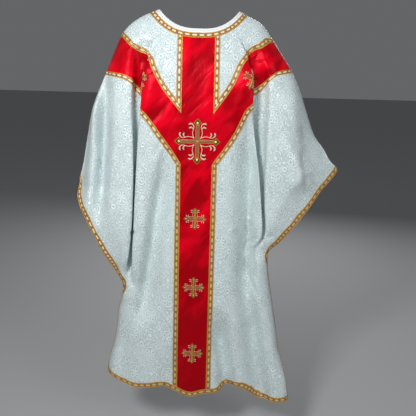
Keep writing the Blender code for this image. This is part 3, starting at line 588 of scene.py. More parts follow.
class Panel:
    """The panel's fine grid, its flat places, and a way from flat to space."""

    def __init__(self, name):
        self.name = name
        left, fans = side_grid(name, "L")
        right, _ = side_grid(name, "R")
        out = -1 if name == "back" else 1
        grid = np.concatenate([left[:, :0:-1] * (-1, out, 1), right * (1, out, 1)], axis=1)
        self.mid = ACROSS - 1
        self.fans = fans
        n = vertex_normals(grid, name)
        # finer creases and unevenness, faded out at the edges and seams
        cols = grid.shape[1]
        rim = np.minimum(np.arange(cols), cols - 1 - np.arange(cols))
        near = ease(rim / 14.0)[None, :] * ease(np.arange(grid.shape[0]) / 12.0)[:, None]
        x, z = grid[..., 0], grid[..., 2]
        move = creases(name, x, z)
        move += 0.0011 * smooth_noise(x, z, 11 if name == "back" else 12, 0.13)
        grid = grid + n * (move * near)[..., None]
        self.grid = grid
        self.normal = vertex_normals(grid, name)
        for j in (0, cols - 1):
            tip = SLEEVE_TIP["L" if j == 0 else "R"]
            on = grid[:, j, 2] > tip - 0.0005
            self.grid[on, j, 1] = out * SEAM_HALF
            flat = self.normal[on, j] * (1, 0.2, 1)
            flat += np.array([(-0.05 if j == 0 else 0.05), 0, 0.05])
            self.normal[on, j] = flat / np.linalg.norm(flat, axis=1, keepdims=True)
        self._flatten()

    def _flatten(self):
        grid, mid = self.grid, self.mid
        step = np.linalg.norm(np.diff(grid, axis=1), axis=2)
        s = np.zeros(grid.shape[:2])
        s[:, mid + 1 :] = np.cumsum(step[:, mid:], axis=1)
        s[:, :mid] = -np.cumsum(step[:, :mid][:, ::-1], axis=1)[:, ::-1]
        self.s = s
        # every row, read at the same places across
        reach = max(-s.min(), s.max()) + 0.03
        at = np.arange(-int(reach / LATTICE), int(reach / LATTICE) + 1) * LATTICE
        rows = np.empty((grid.shape[0], len(at), 6))
        both = np.concatenate([grid, self.normal], axis=2)
        for i in range(grid.shape[0]):
            for k in range(6):
                rows[i, :, k] = np.interp(at, s[i], both[i, :, k])
            for j, a in ((0, 1), (-1, -2)):
                way = (grid[i, j] - grid[i, a]) / max(abs(s[i, j] - s[i, a]), 1e-9)
                beyond = at < s[i, 0] if j == 0 else at > s[i, -1]
                far = np.abs(at[beyond] - s[i, j])
                rows[i, beyond, :3] = grid[i, j] + way * far[:, None]
        dt = np.linalg.norm(np.diff(rows[..., :3], axis=0), axis=2)
        for i in range(dt.shape[0]):
            good = (at >= max(s[i, 0], s[i + 1, 0])) & (at <= min(s[i, -1], s[i + 1, -1]))
            g = np.where(good)[0]
            dt[i, : g[0]] = dt[i, g[0]]
            dt[i, g[-1] + 1 :] = dt[i, g[-1]]
        z_mid = grid[:, mid, 2]
        anchor = int(np.argmin(np.abs(z_mid + 0.507)))
        t = np.zeros(rows.shape[:2])
        t[anchor] = -z_mid[anchor]
        t[anchor + 1 :] = t[anchor] + np.cumsum(dt[anchor:], axis=0)
        t[:anchor] = t[anchor] - np.cumsum(dt[:anchor][::-1], axis=0)[::-1]
        self.t = np.array([np.interp(s[i], at, t[i]) for i in range(len(s))])
        # and each of those columns, read at the same places down
        self.at = at
        self.down = np.arange(int((t.min() - 0.02) / LATTICE) - 1, int((t.max() + 0.02) / LATTICE) + 2) * LATTICE
        field = np.empty((len(self.down), len(at), 6))
        for j in range(len(at)):
            tj, pj = t[:, j], rows[:, j]
            top = pj[0].copy()
            top[:3] -= (pj[1, :3] - pj[0, :3]) / (tj[1] - tj[0]) * 0.05
            end = pj[-1].copy()
            end[:3] += (pj[-1, :3] - pj[-2, :3]) / (tj[-1] - tj[-2]) * 0.05
            tj = np.concatenate([[tj[0] - 0.05], tj, [tj[-1] + 0.05]])
            pj = np.concatenate([[top], pj, [end]])
            for k in range(6):
                field[:, j, k] = np.interp(self.down, tj, pj[:, k])
        self.field = field

    def space(self, s, t, high=0.0):
        """Where places on the flat panel are in space, that far off the cloth."""
        a = np.clip((s - self.at[0]) / LATTICE, 0, len(self.at) - 1.001)
        b = np.clip((t - self.down[0]) / LATTICE, 0, len(self.down) - 1.001)
        i, j = b.astype(int), a.astype(int)
        u, v = (a - j)[..., None], (b - i)[..., None]
        f = self.field
        p = (f[i, j] * (1 - u) + f[i, j + 1] * u) * (1 - v) + (f[i + 1, j] * (1 - u) + f[i + 1, j + 1] * u) * v
        n = p[..., 3:]
        n = n / np.maximum(np.linalg.norm(n, axis=-1, keepdims=True), 1e-9)
        return p[..., :3] + n * np.asarray(high)[..., None]

    def mark(self, sign, column, z):
        """The flat place where a named column is at a height."""
        j = self.mid + sign * MARK[column]
        heights = self.grid[:, j, 2]
        order = np.argsort(heights)
        return np.array([
            np.interp(z, heights[order], self.s[order, j]),
            np.interp(z, heights[order], self.t[order, j]),
        ])


# ------------------------------------------------------------- meshes
def new_piece(name, points, faces, uvs, materials, face_material=None, smooth=True):
    """A mesh object from arrays; uvs maps a layer's name to one pair for each point."""
    mesh = bpy.data.meshes.new(name)
    mesh.vertices.add(len(points))
    mesh.vertices.foreach_set("co", np.asarray(points, float).ravel())
    faces = np.asarray(faces, int)
    mesh.loops.add(faces.size)
    mesh.loops.foreach_set("vertex_index", faces.ravel())
    mesh.polygons.add(len(faces))
    mesh.polygons.foreach_set("loop_start", np.arange(0, faces.size, faces.shape[1]))
    mesh.polygons.foreach_set("loop_total", np.full(len(faces), faces.shape[1]))
    for key, uv in uvs.items():
        layer = mesh.uv_layers.new(name=key)
        layer.data.foreach_set("uv", np.asarray(uv, float)[faces.ravel()].ravel())
    for m in materials:
        mesh.materials.append(m)
    if face_material is not None:
        mesh.polygons.foreach_set("material_index", np.asarray(face_material, int))
    mesh.update(calc_edges=True)
    mesh.validate()
    if smooth:
        mesh.shade_smooth()
    obj = bpy.data.objects.new(name, mesh)
    bpy.context.scene.collection.objects.link(obj)
    return obj


def quads(rows, cols, keep=None, flip=False):
    i, j = np.meshgrid(np.arange(rows - 1), np.arange(cols - 1), indexing="ij")
    a = (i * cols + j).ravel()
    f = np.stack([a, a + cols, a + cols + 1, a + 1], axis=1)
    if keep is not None:
        f = f[keep.ravel()]
    return f[:, ::-1] if flip else f


class Joined:
    """Gathers many small strips into one mesh."""

    def __init__(self):
        self.points, self.faces, self.uv, self.mat, self.count = [], [], [], [], 0

    def strip(self, grid, uv, mat, flip=False):
        rows, cols = grid.shape[:2]
        f = quads(rows, cols, flip=flip) + self.count
        self.points.append(grid.reshape(-1, 3))
        self.uv.append(uv.reshape(-1, 2))
        self.faces.append(f)
        self.mat.append(np.full(len(f), mat))
        self.count += rows * cols

    def make(self, name, materials):
        return new_piece(
            name,
            np.concatenate(self.points),
            np.concatenate(self.faces),
            {"flat": np.concatenate(self.uv)},
            materials,
            np.concatenate(self.mat),
        )


def resample(line, step, smooth=True):
    """Points at even steps along a line, through a smooth curve."""
    p = np.asarray(line, float)
    if smooth and len(p) > 2:
        dense = []
        q = np.concatenate([[2 * p[0] - p[1]], p, [2 * p[-1] - p[-2]]])
        for k in range(1, len(q) - 2):
            p0, p1, p2, p3 = q[k - 1 : k + 3]
            h0, h1, h2 = (math.sqrt(np.linalg.norm(b - a)) + 1e-9 for a, b in ((p0, p1), (p1, p2), (p2, p3)))
            m1 = ((p1 - p0) / h0 * h1 + (p2 - p1) / h1 * h0) / (h0 + h1) * h1
            m2 = ((p2 - p1) / h1 * h2 + (p3 - p2) / h2 * h1) / (h1 + h2) * h1
            for u in np.linspace(0, 1, 13)[:-1]:
                dense.append(
                    (2 * u**3 - 3 * u**2 + 1) * p1 + (u**3 - 2 * u**2 + u) * m1
                    + (-2 * u**3 + 3 * u**2) * p2 + (u**3 - u**2) * m2
                )
        dense.append(p[-1])
        p = np.array(dense)
    s = np.concatenate([[0], np.cumsum(np.linalg.norm(np.diff(p, axis=0), axis=1))])
    n = max(2, int(round(s[-1] / step)) + 1)
    at = np.linspace(0, s[-1], n)
    return np.stack([np.interp(at, s, p[:, k]) for k in range(2)], axis=1)


def offset(line, by):
    """The line moved sideways on the flat, with mitred corners: + is to its left."""
    p = np.asarray(line, float)
    d = np.diff(p, axis=0)
    d /= np.maximum(np.linalg.norm(d, axis=1, keepdims=True), 1e-12)
    n = np.stack([-d[:, 1], d[:, 0]], axis=1)
    a = np.concatenate([n[:1], n])
    b = np.concatenate([n, n[-1:]])
    m = a + b
    m /= np.maximum(np.linalg.norm(m, axis=1, keepdims=True), 1e-9)
    lift = np.maximum(np.sum(m * a, axis=1), 0.12)
    return p + m * (by / lift)[:, None]


CORD = (
    # share across, height above the cloth in mm
    (0.000, 0.15), (0.012, 0.75), (0.045, 1.15), (0.080, 0.95), (0.105, 0.62),
    (0.16, 0.72), (0.30, 0.85), (0.50, 0.90), (0.70, 0.85), (0.84, 0.72),
    (0.895, 0.62), (0.920, 0.95), (0.955, 1.15), (0.988, 0.75), (1.000, 0.15),
)


def tape(panel, edge_a, edge_b, name, mat, section=CORD, wide=None, lift=0.0, phase=0.0):
    """A woven tape between two lines of flat places with the same number of points."""
    a, b = np.asarray(edge_a), np.asarray(edge_b)
    across = np.array([q for q, _ in section])
    high = (np.array([h for _, h in section]) + lift) / 1000
    flat = a[:, None] + (b - a)[:, None] * across[None, :, None]
    points = panel.space(flat[..., 0], flat[..., 1], np.broadcast_to(high, flat.shape[:2]))
    middle = (a + b) / 2
    run = np.concatenate([[0], np.cumsum(np.linalg.norm(np.diff(middle, axis=0), axis=1))])
    uv = np.stack([
        np.broadcast_to(run[:, None] + phase, flat.shape[:2]),
        np.broadcast_to(across[None, :] * (wide or GALLOON), flat.shape[:2]),
    ], axis=-1)
    rows, cols = flat.shape[:2]
    # faces look outward whatever way the tape runs
    d1, d2 = a[-1] - a[0], b[0] - a[0]
    k = len(a) // 2
    d1, d2 = a[min(k + 1, len(a) - 1)] - a[k - 1], b[k] - a[k]
    turn = d1[0] * d2[1] - d1[1] * d2[0]
    flip = (turn < 0) == (panel.name == "back")
    f = quads(rows, cols, flip=not flip)
    return new_piece(name, points.reshape(-1, 3), f, {"flat": uv.reshape(-1, 2)}, [mat])


def unit(v):
    v = np.asarray(v, float)
    return v / np.maximum(np.linalg.norm(v, axis=-1, keepdims=True), 1e-12)


def strips(parts, by):
    """Pairs of lines for a tape that runs along parts which meet at mitred corners."""
    pairs = []
    for i, part in enumerate(parts):
        p = np.asarray(part, float)
        d = unit(np.gradient(p, axis=0))
        n = np.stack([-d[:, 1], d[:, 0]], axis=1)
        a, b = p.copy(), p + n * by
        for end in (0, -1):
            j = i - 1 if end == 0 else i + 1
            if j < 0 or j >= len(parts):
                continue
            o = np.asarray(parts[j], float)
            corner = p[end]
            here = unit(p[1] - p[0]) if end == 0 else unit(p[-2] - p[-1])
            there = unit(o[-2] - o[-1]) if end == 0 else unit(o[1] - o[0])
            bis = unit(here + there)
            lean = float(n[end] @ bis) * (1 if by > 0 else -1)
            perp = np.array([-bis[1], bis[0]])
            if perp @ here < 0:
                perp = -perp
            if lean > 0:
                side_b, side_a = (b - corner) @ perp, (a - corner) @ perp
                for k in np.where(side_b < 0)[0]:
                    if side_a[k] < 0.08:
                        f = max(side_a[k], 0) / max(side_a[k] - side_b[k], 1e-9)
                        b[k] = a[k] + (b[k] - a[k]) * f
            else:
                peak = corner - bis * abs(by) / max(abs(lean), 0.1)
                if end == 0:
                    a, b = np.vstack([corner, a]), np.vstack([peak, b])
                else:
                    a, b = np.vstack([a, corner]), np.vstack([b, peak])
        pairs.append((a, b))
    return pairs


def cut_at_seam(panel, sign, pair, end):
    """Lets a tape's end lie along the shoulder seam."""
    a, b = pair
    j = panel.mid + sign * MARK["edge"]
    seam = np.stack([panel.s[:, j], panel.t[:, j]], axis=1)
    k = 0 if end == 0 else len(a) - 1
    step = 3 if end == 0 else -3
    d = unit(a[k] - a[k + step])
    wide = np.linalg.norm(b[k + step] - a[k + step])
    n = unit(b[k + step] - a[k + step])
    off = (seam - a[k]) @ n
    ahead = (seam - a[k]) @ d
    near = np.abs(ahead) < 0.03
    cand = np.where(near & (np.abs(off - wide) < 0.01))[0]
    if len(cand) == 0:
        return pair
    best = cand[np.argmin(np.abs(off[cand] - wide))]
    for c in (best - 1, best + 1):
        if 0 <= c < len(seam) and (off[c] - wide) * (off[best] - wide) < 0:
            f = (wide - off[best]) / (off[c] - off[best])
            place = seam[best] + (seam[c] - seam[best]) * f
            break
    else:
        place = seam[best]
    b = b.copy()
    limit = (place - a[k]) @ d
    for m in range(12):
        q = k + m * (1 if end == 0 else -1)
        if m == 0 or (b[q] - a[k]) @ d > limit - 0.0005:
            b[q] = place
    return a, b


def trim(panel, pairs, name, mat, lift=0.0):
    """Strips of galloon joined into one piece."""
    across = np.array([q for q, _ in CORD])
    high = np.array([h for _, h in CORD]) + lift
    joined, run0 = Joined(), 0.0
    for a, b in pairs:
        wide = np.linalg.norm(b - a, axis=1) / GALLOON
        flat = a[:, None] + (b - a)[:, None] * across[None, :, None]
        real = across[None, :] * np.minimum(wide, 1.0)[:, None]
        h = np.interp(real, across, high) / 1000
        points = panel.space(flat[..., 0], flat[..., 1], h)
        run = run0 + np.concatenate([[0], np.cumsum(np.linalg.norm(np.diff(a, axis=0), axis=1))])
        run0 = run[-1]
        uv = np.stack([np.broadcast_to(run[:, None], real.shape), real * GALLOON], axis=-1)
        k = int(np.argmax(wide))
        k = min(max(k, 1), len(a) - 2)
        d1, d2 = a[k + 1] - a[k - 1], b[k] - a[k]
        turn = d1[0] * d2[1] - d1[1] * d2[0]
        flip = (turn < 0) == (panel.name == "back")
        joined.strip(points, uv, 0, flip=not flip)
    return joined.make(name, [mat])


# ------------------------------------------------------------- materials
class Nodes:
    """Short hand for a material's math."""

    def __init__(self, name):
        self.m = bpy.data.materials.new(name)
        self.m.use_nodes = True
        self.t = self.m.node_tree
        self.shader = self.t.nodes["Principled BSDF"]

    def node(self, kind, **values):
        n = self.t.nodes.new(kind)
        for k, v in values.items():
            setattr(n, k, v)
        return n

    def plug(self, socket, value):
        if isinstance(value, Value):
            value = value.s
        if hasattr(value, "is_output"):
            self.t.links.new(value, socket)
        else:
            socket.default_value = value

    def math(self, op, a, b=None, c=None, clamp=False):
        n = self.node("ShaderNodeMath", operation=op, use_clamp=clamp)
        for k, v in enumerate((a, b, c)):
            if v is not None:
                self.plug(n.inputs[k], v)
        return Value(self, n.outputs[0])

    def flat(self):
        uv = self.node("ShaderNodeUVMap", uv_map="flat")
        cut = self.node("ShaderNodeSeparateXYZ")
        self.t.links.new(uv.outputs[0], cut.inputs[0])
        return Value(self, cut.outputs[0]), Value(self, cut.outputs[1])

    def pack(self, x, y, z=0.0):
        n = self.node("ShaderNodeCombineXYZ")
        for k, v in enumerate((x, y, z)):
            self.plug(n.inputs[k], v)
        return n.outputs[0]

    def noise(self, at, scale, detail=3.0, rough=0.5, distortion=0.0):
        n = self.node("ShaderNodeTexNoise")
        self.t.links.new(at, n.inputs["Vector"])
        n.inputs["Scale"].default_value = scale
        n.inputs["Detail"].default_value = detail
        n.inputs["Roughness"].default_value = rough
        n.inputs["Distortion"].default_value = distortion
        return Value(self, n.outputs[0])

    def mix(self, share, a, b):
        n = self.node("ShaderNodeMix", data_type="RGBA")
        self.plug(n.inputs[0], share)
        for socket, v in ((n.inputs[6], a), (n.inputs[7], b)):
            if isinstance(v, tuple):
                socket.default_value = (*v, 1.0)
            else:
                self.plug(socket, v)
        return n.outputs[2]

    def ramp(self, value, low, high):
        n = self.node("ShaderNodeMapRange", interpolation_type="SMOOTHSTEP")
        self.plug(n.inputs[0], value)
        n.inputs[1].default_value, n.inputs[2].default_value = low, high
        return Value(self, n.outputs[0])

    def bump(self, height, distance, strength=1.0, normal=None):
        n = self.node("ShaderNodeBump")
        n.inputs["Strength"].default_value = strength
        n.inputs["Distance"].default_value = distance
        self.plug(n.inputs["Height"], height)
        if normal is not None:
            self.t.links.new(normal, n.inputs["Normal"])
        return n.outputs[0]

    def finish(self, colour, rough, normal=None, **fixed):
        s = self.shader
        if isinstance(colour, tuple):
            s.inputs["Base Color"].default_value = (*colour, 1.0)
        else:
            self.plug(s.inputs["Base Color"], colour)
        self.plug(s.inputs["Roughness"], rough)
        if normal is not None:
            self.t.links.new(normal, s.inputs["Normal"])
        for k, v in fixed.items():
            s.inputs[k.replace("_", " ")].default_value = v
        return self.m


class Value:
    def __init__(self, nodes, socket):
        self.n, self.s = nodes, socket

    def _do(self, op, other=None, swap=False):
        return self.n.math(op, other, self) if swap else self.n.math(op, self, other)

    def __add__(self, o):
        return self._do("ADD", o)

    __radd__ = __add__

    def __sub__(self, o):
        return self._do("SUBTRACT", o)

    def __rsub__(self, o):
        return self._do("SUBTRACT", o, True)

    def __mul__(self, o):
        return self._do("MULTIPLY", o)

    __rmul__ = __mul__

    def __truediv__(self, o):
        return self._do("DIVIDE", o)

    def max(self, o):
        return self._do("MAXIMUM", o)

    def min(self, o):
        return self._do("MINIMUM", o)

    def abs(self):
        return self._do("ABSOLUTE")

    def cos(self):
        return self._do("COSINE")

    def sin(self):
        return self._do("SINE")

    def wrap(self):
        """Distance from the nearest whole number, signed."""
        return self._do("WRAP_HALF") if False else self.n.math("SUBTRACT", self.n.math("FRACT", self + 0.5), 0.5)


def radius(n, x, y):
    return n.math("SQRT", x * x + y * y)


def inside(n, value, at, soft_by=0.012):
    """1 where value is below at, with a soft edge."""
    return 1.0 - n.ramp(value, at - soft_by, at + soft_by)


def band(n, value, at, half, soft_by=0.010):
    return inside(n, (value - at).abs(), half, soft_by)


PITCH_X, PITCH_Y = 0.058, 0.070


def damask(n, u, v):
    """The brocade's repeat: small rings on a lattice, with ringed quatrefoils and
    radiating stars in turn between them.  Gives light fills and thin dark lines."""
    x, y = u / PITCH_X, v / PITCH_Y
    gx, gy = x.wrap(), y.wrap()                       # round the lattice's rings
    fx, fy = (x + 0.5).wrap(), (y + 0.5).wrap()       # round the cell's middle
    # which of the two motifs fills this cell
    odd = n.math("FRACT", (n.math("FLOOR", x) + n.math("FLOOR", y)) * 0.5)
    star = n.ramp(odd, 0.2, 0.3)
    r2 = radius(n, gx, gy)
    r = radius(n, fx, fy)
    turn = n.math("ARCTAN2", fy, fx)
    four, eight = (turn * 4.0).cos(), (turn * 8.0).cos()
    sixteen = (turn * 16.0).cos()
    # lattice rings
    fill = band(n, r2, 0.108, 0.034, 0.014)
    line = band(n, r2, 0.158, 0.010, 0.010).max(inside(n, r2, 0.050, 0.02))
    # ringed quatrefoil: four leaf shapes round a small middle
    lx, ly = fx.abs() - 0.150, fy.abs() - 0.150
    leaf = radius(n, lx, ly)
    a_fill = band(n, r, 0.365, 0.026, 0.014)
    a_fill = a_fill.max(band(n, leaf, 0.092, 0.030, 0.016))
    a_fill = a_fill.max(inside(n, r, 0.062, 0.016))
    a_line = band(n, r, 0.318, 0.014, 0.012).max(band(n, r, 0.412, 0.010, 0.010))
    a_line = a_line.max(inside(n, leaf, 0.045, 0.02))
    a_line = a_line.max(inside(n, (fx * fy).abs(), 0.0020, 0.0018) * inside(n, r, 0.30) * n.ramp(r, 0.08, 0.11))
    # radiating star: two wreaths of small wedges round a rosette
    b_fill = band(n, r, 0.340, 0.048, 0.02) * n.ramp(eight, -0.1, 0.3)
    b_fill = b_fill.max(band(n, r, 0.215, 0.038, 0.02) * n.ramp(0.0 - eight, -0.1, 0.3))
    b_fill = b_fill.max(inside(n, r - four * 0.026, 0.098, 0.016))
    b_line = band(n, r - eight * 0.018, 0.280, 0.010, 0.010).max(band(n, r - four * 0.020, 0.145, 0.010, 0.010))
    b_line = b_line.max(band(n, r - sixteen * 0.012, 0.405, 0.009, 0.010))
    fill = fill.max(a_fill * (1.0 - star)).max(b_fill * star)
    line = line.max(a_line * (1.0 - star)).max(b_line * star)
    # leaf tips in the corners that are left
    tip = band(n, (gx.abs() - gy.abs()).abs(), 0.0, 0.035, 0.02) * band(n, r2, 0.235, 0.035, 0.02)
    return fill.max(tip), line


def make_brocade():
    n = Nodes("brocade")
    u, v = n.flat()
    at = n.pack(u, v)
    wobble = (n.noise(at, 55.0, 1.0) - 0.5) * 0.007
    fill, line = damask(n, u + wobble, v - wobble)
    patch = n.noise(at, 7.0, 2.0)
    thread = n.noise(n.pack(u * 1.0, v * 0.25), 1500.0, 2.0, 0.6)
    glint = n.noise(at, 240.0, 2.0, 0.6)
    # foliage that winds between the motifs, and how clearly all of it shows
    winding = n.noise(at, 75.0, 1.0, 0.4, 1.2)
    vine = band(n, winding, 0.50, 0.030, 0.018)
    vine_edge = band(n, winding, 0.435, 0.016, 0.014).max(band(n, winding, 0.565, 0.016, 0.014))
    show = n.ramp(n.noise(n.pack(u, v, 0.31), 16.0, 2.0), 0.34, 0.62) * 0.5 + 0.5
    clear = 1.0 - fill.max(line)
    # small wedge leaves that fill what is left, light and dark
    wedge = n.noise(n.pack(u, v * 0.8, 0.77), 135.0, 1.0, 0.4)
    fill = fill.max(n.ramp(wedge, 0.56, 0.62) * 0.80)
    line = line.max((1.0 - n.ramp(wedge, 0.33, 0.41)) * 0.55)
    fill = fill.max(vine * clear * 0.8) * show
    line = line.max(vine_edge * clear * 0.8) * show
    shade = fill * 0.55 + thread * 0.10 + glint * 0.32
    colour = n.mix(shade, GROUND, FIGURE)
    colour = n.mix(line * 0.72, colour, LINE)
    colour = n.mix(n.ramp(patch, 0.35, 0.65) * 0.08, colour, (0.56, 0.63, 0.64))
    rough = 0.38 - fill * 0.14 + line * 0.10 + thread * 0.06
    high = fill * 0.7 - line * 0.5 + glint * 0.30 + thread * 0.12
    return n.finish(
        colour, rough, n.bump(high, 0.0015, 0.7),
        Sheen_Weight=0.10, Sheen_Roughness=0.35, Specular_IOR_Level=0.8,
    )


def make_satin():
    n = Nodes("satin")
    u, v = n.flat()
    # slack in the satin lies in slanting waves
    slant = n.pack((u * 0.55 + v * 0.83) * 0.45, (u * 0.83 - v * 0.55) * 1.0)
    waves = n.noise(slant, 17.0, 1.5, 0.45, 0.5)
    small = n.noise(slant, 46.0, 2.0, 0.5, 0.8)
    thread = n.noise(n.pack(u * 1.0, v * 0.08), 2600.0, 2.0, 0.6)
    painted_shade_low = n.ramp(v * -1.0, 0.70, 0.98)     # painted shade: the satin is darker towards the lower half
    # painted light and shade: the red is lighter on the waves' crests, darker in their hollows and towards the bottom
    colour = n.mix(n.ramp(waves * 0.8 + small * 0.2 - painted_shade_low * 0.16, 0.36, 0.64), RED_PAINTED_SHADE, RED_PAINTED_LIGHT)
    colour = n.mix(thread * 0.06, colour, (0.80, 0.03, 0.05))
    high = waves * 1.0 + small * 0.16
    bump = n.bump(high, 0.020, 0.6)
    bump = n.bump(thread, 0.00012, 0.5, bump)
    rough = 0.33 + thread * 0.06
    return n.finish(colour, rough, bump, Specular_IOR_Level=0.70, Specular_Tint=(1.0, 0.06, 0.10, 1.0))


def make_galloon():
    n = Nodes("galloon")
    u, v = n.flat()
    w = v / GALLOON
    f = (u / 0.0228).wrap().abs()           # 0 in the middle of a block, 0.5 in a gap
    c = (w - 0.5).abs()
    twist = n.math("SINE", u * 4200.0 + v * 3000.0) * 0.5 + 0.5
    grain = n.noise(n.pack(u, v * 0.4), 1800.0, 2.0, 0.6)
    block = inside(n, c + n.ramp(f, 0.16, 0.42) * 0.12, 0.175, 0.02) * inside(n, f, 0.350, 0.015)
    seed = inside(n, radius(n, (f - 0.5) * 1.34, c), 0.055, 0.02)
    dots = inside(n, (c - 0.228).abs(), 0.018, 0.01) * n.ramp((u * 2094.0).sin(), 0.1, 0.4)
    lines = band(n, c, 0.262, 0.014, 0.012)
    cord = n.ramp(c, 0.268, 0.288)
    # the blocks blend from pale near the start of each tape's run to deeper further along
    deeper_along_run = n.ramp(u, 0.25, 0.55)            # paler near the shoulders
    ground = n.mix(grain, (0.20, 0.040, 0.040), (0.36, 0.12, 0.095))
    colour = n.mix(dots * 0.6, ground, (0.60, 0.46, 0.22))
    pale = n.mix(grain, (0.66, 0.60, 0.30), (0.88, 0.85, 0.52))
    deep = n.mix(grain, (0.42, 0.34, 0.07), (0.66, 0.58, 0.19))
    colour = n.mix(block, colour, n.mix(deeper_along_run * 0.85, pale, deep))
    colour = n.mix(seed * 0.75, colour, (0.72, 0.55, 0.22))
    colour = n.mix(lines, colour, (0.13, 0.030, 0.022))
    gold = n.mix(twist * 0.7 + grain * 0.3, (0.38, 0.16, 0.012), (0.78, 0.44, 0.045))
    colour = n.mix(cord, colour, gold)
    high = block * 0.5 + cord * twist * 0.7 + grain * 0.4
    rough = 0.46 - cord * 0.10
    metal = cord * 0.25
    m = n.finish(colour, rough, n.bump(high, 0.00035, 0.7), Specular_IOR_Level=0.5)
    n.plug(n.shader.inputs["Metallic"], metal)
    return m


def make_band():
    n = Nodes("neck_binding")
    u, v = n.flat()
    grain = n.noise(n.pack(u * 0.4, v), 1400.0, 2.0, 0.6)
    line = band(n, v, 0.0068, 0.0004, 0.0003)
    stitch = line * n.ramp((u * 2400.0).sin(), -0.55, -0.2)
    colour = n.mix(stitch, n.mix(grain, (0.70, 0.74, 0.75), (0.84, 0.88, 0.88)), (0.40, 0.42, 0.44))
    high = grain * 0.3 - line * 1.4 + stitch * 0.5
    return n.finish(colour, 0.52 + grain * 0.08, n.bump(high, 0.0005, 0.6), Sheen_Weight=0.2, Sheen_Roughness=0.5)


def make_thread(name, low, high, metal, rough, across=1150.0, slope=0.35):
    """Stitched thread: fine ridges over the way of the stitches."""
    n = Nodes(name)
    u, v = n.flat()
    ridge = ((u + v * slope) * 2 * math.pi * across).sin() * 0.5 + 0.5
    grain = n.noise(n.pack(u, v), 900.0, 2.0, 0.6)
    colour = n.mix(ridge * 0.6 + grain * 0.4, low, high)
    return n.finish(
        colour, rough + grain * 0.08, n.bump(ridge * 0.8 + grain * 0.4, 0.0002, 0.6),
        Metallic=metal, Specular_IOR_Level=0.55,
    )


def make_bar():
    """The arms of a cross: bronze thread laid lengthwise, with darker lines."""
    n = Nodes("bronze_bars")
    u, v = n.flat()
    lines = n.ramp((v * 2 * math.pi * 4.0).cos(), 0.35, 0.85)
    grain = n.noise(n.pack(u * 0.1, v), 400.0, 2.0, 0.6)
    colour = n.mix(grain, (0.28, 0.095, 0.035), (0.46, 0.19, 0.075))
    colour = n.mix(lines * 0.8, colour, (0.085, 0.022, 0.014))
    return n.finish(
        colour, 0.42 + grain * 0.1, n.bump(grain * 0.5 - lines * 0.6, 0.0004, 0.7),
        Metallic=0.25, Specular_IOR_Level=0.5,
    )


# --------------------------------------------------------------- crosses
def half_round(count):
    a = np.linspace(math.pi, 0, count)
    return np.cos(a), np.sin(a)


class Needle:
    """Lays raised stitching on a panel, round a place and turned."""

    def __init__(self, panel, s, t, size, turn, base):
        a = math.radians(turn)
        self.panel, self.middle, self.size, self.base = panel, np.array([s, t]), size, base
        self.right = np.array([math.cos(a), -math.sin(a)])
        self.up = np.array([-math.sin(a), -math.cos(a)])
        self.joined = Joined()

    def lay(self, grid, high, uv, mat, flip=False):
        """grid holds places in the cross's own measure, high is in metres."""
        flat = self.middle + self.size * (grid[..., :1] * self.right + grid[..., 1:] * self.up)
        points = self.panel.space(flat[..., 0], flat[..., 1], self.base + high)
        back = self.panel.name == "back"
        self.joined.strip(points, uv, mat, flip=flip if back else not flip)

    def cord(self, path, width, height, mat, count=7, stripes=False):
        """A raised line of thread, as wide as width says at each point."""
        p = np.asarray(path, float)
        width = np.broadcast_to(np.asarray(width, float), (len(p),))
        d = unit(np.gradient(p, axis=0))
        n = np.stack([-d[:, 1], d[:, 0]], axis=1)
        x, h = half_round(count)
        grid = p[:, None] + n[:, None] * (x[None, :, None] * width[:, None, None] / 2)
        high = height * h[None, :] * (width / max(width.max(), 1e-9))[:, None] ** 0.6
        run = np.concatenate([[0], np.cumsum(np.linalg.norm(np.diff(p, axis=0), axis=1))]) * self.size
        if stripes:
            uv = np.stack([np.broadcast_to(run[:, None], high.shape), np.broadcast_to((x[None, :] + 1) / 2, high.shape)], axis=-1)
        else:
            uv = np.stack([np.broadcast_to(run[:, None], high.shape), np.broadcast_to(x[None, :] * width[:, None] / 2 * self.size, high.shape)], axis=-1)
        self.lay(grid, high, uv, mat, flip=True)

    def disc(self, at, reach, height, mat, rings=4, around=20):
        """A domed fill: reach(angle) is how far out it goes."""
        a = np.linspace(0, 2 * math.pi, around + 1)
        r = np.linspace(0, 1, rings + 1)
        far = np.array([reach(v) for v in a])
        grid = np.asarray(at) + (r[:, None] * far[None, :])[..., None] * np.stack([np.cos(a), np.sin(a)], axis=1)[None]
        high = height * np.sqrt(np.maximum(1 - r**2, 0))[:, None] * np.ones(len(a))[None, :]
        self.lay(grid, high, grid * self.size, mat, flip=False)


def kite(angle, corners):
    """How far a closed outline of corners round a middle reaches at an angle."""
    for k in range(len(corners)):
        a, b = np.array(corners[k]), np.array(corners[(k + 1) % len(corners)])
        d = np.array([math.cos(angle), math.sin(angle)])
        m = np.array([d, a - b]).T
        if abs(np.linalg.det(m)) < 1e-12:
            continue
        r, q = np.linalg.solve(m, a)
        if r > 0 and -1e-9 <= q <= 1 + 1e-9:
            return r
    return 0.0


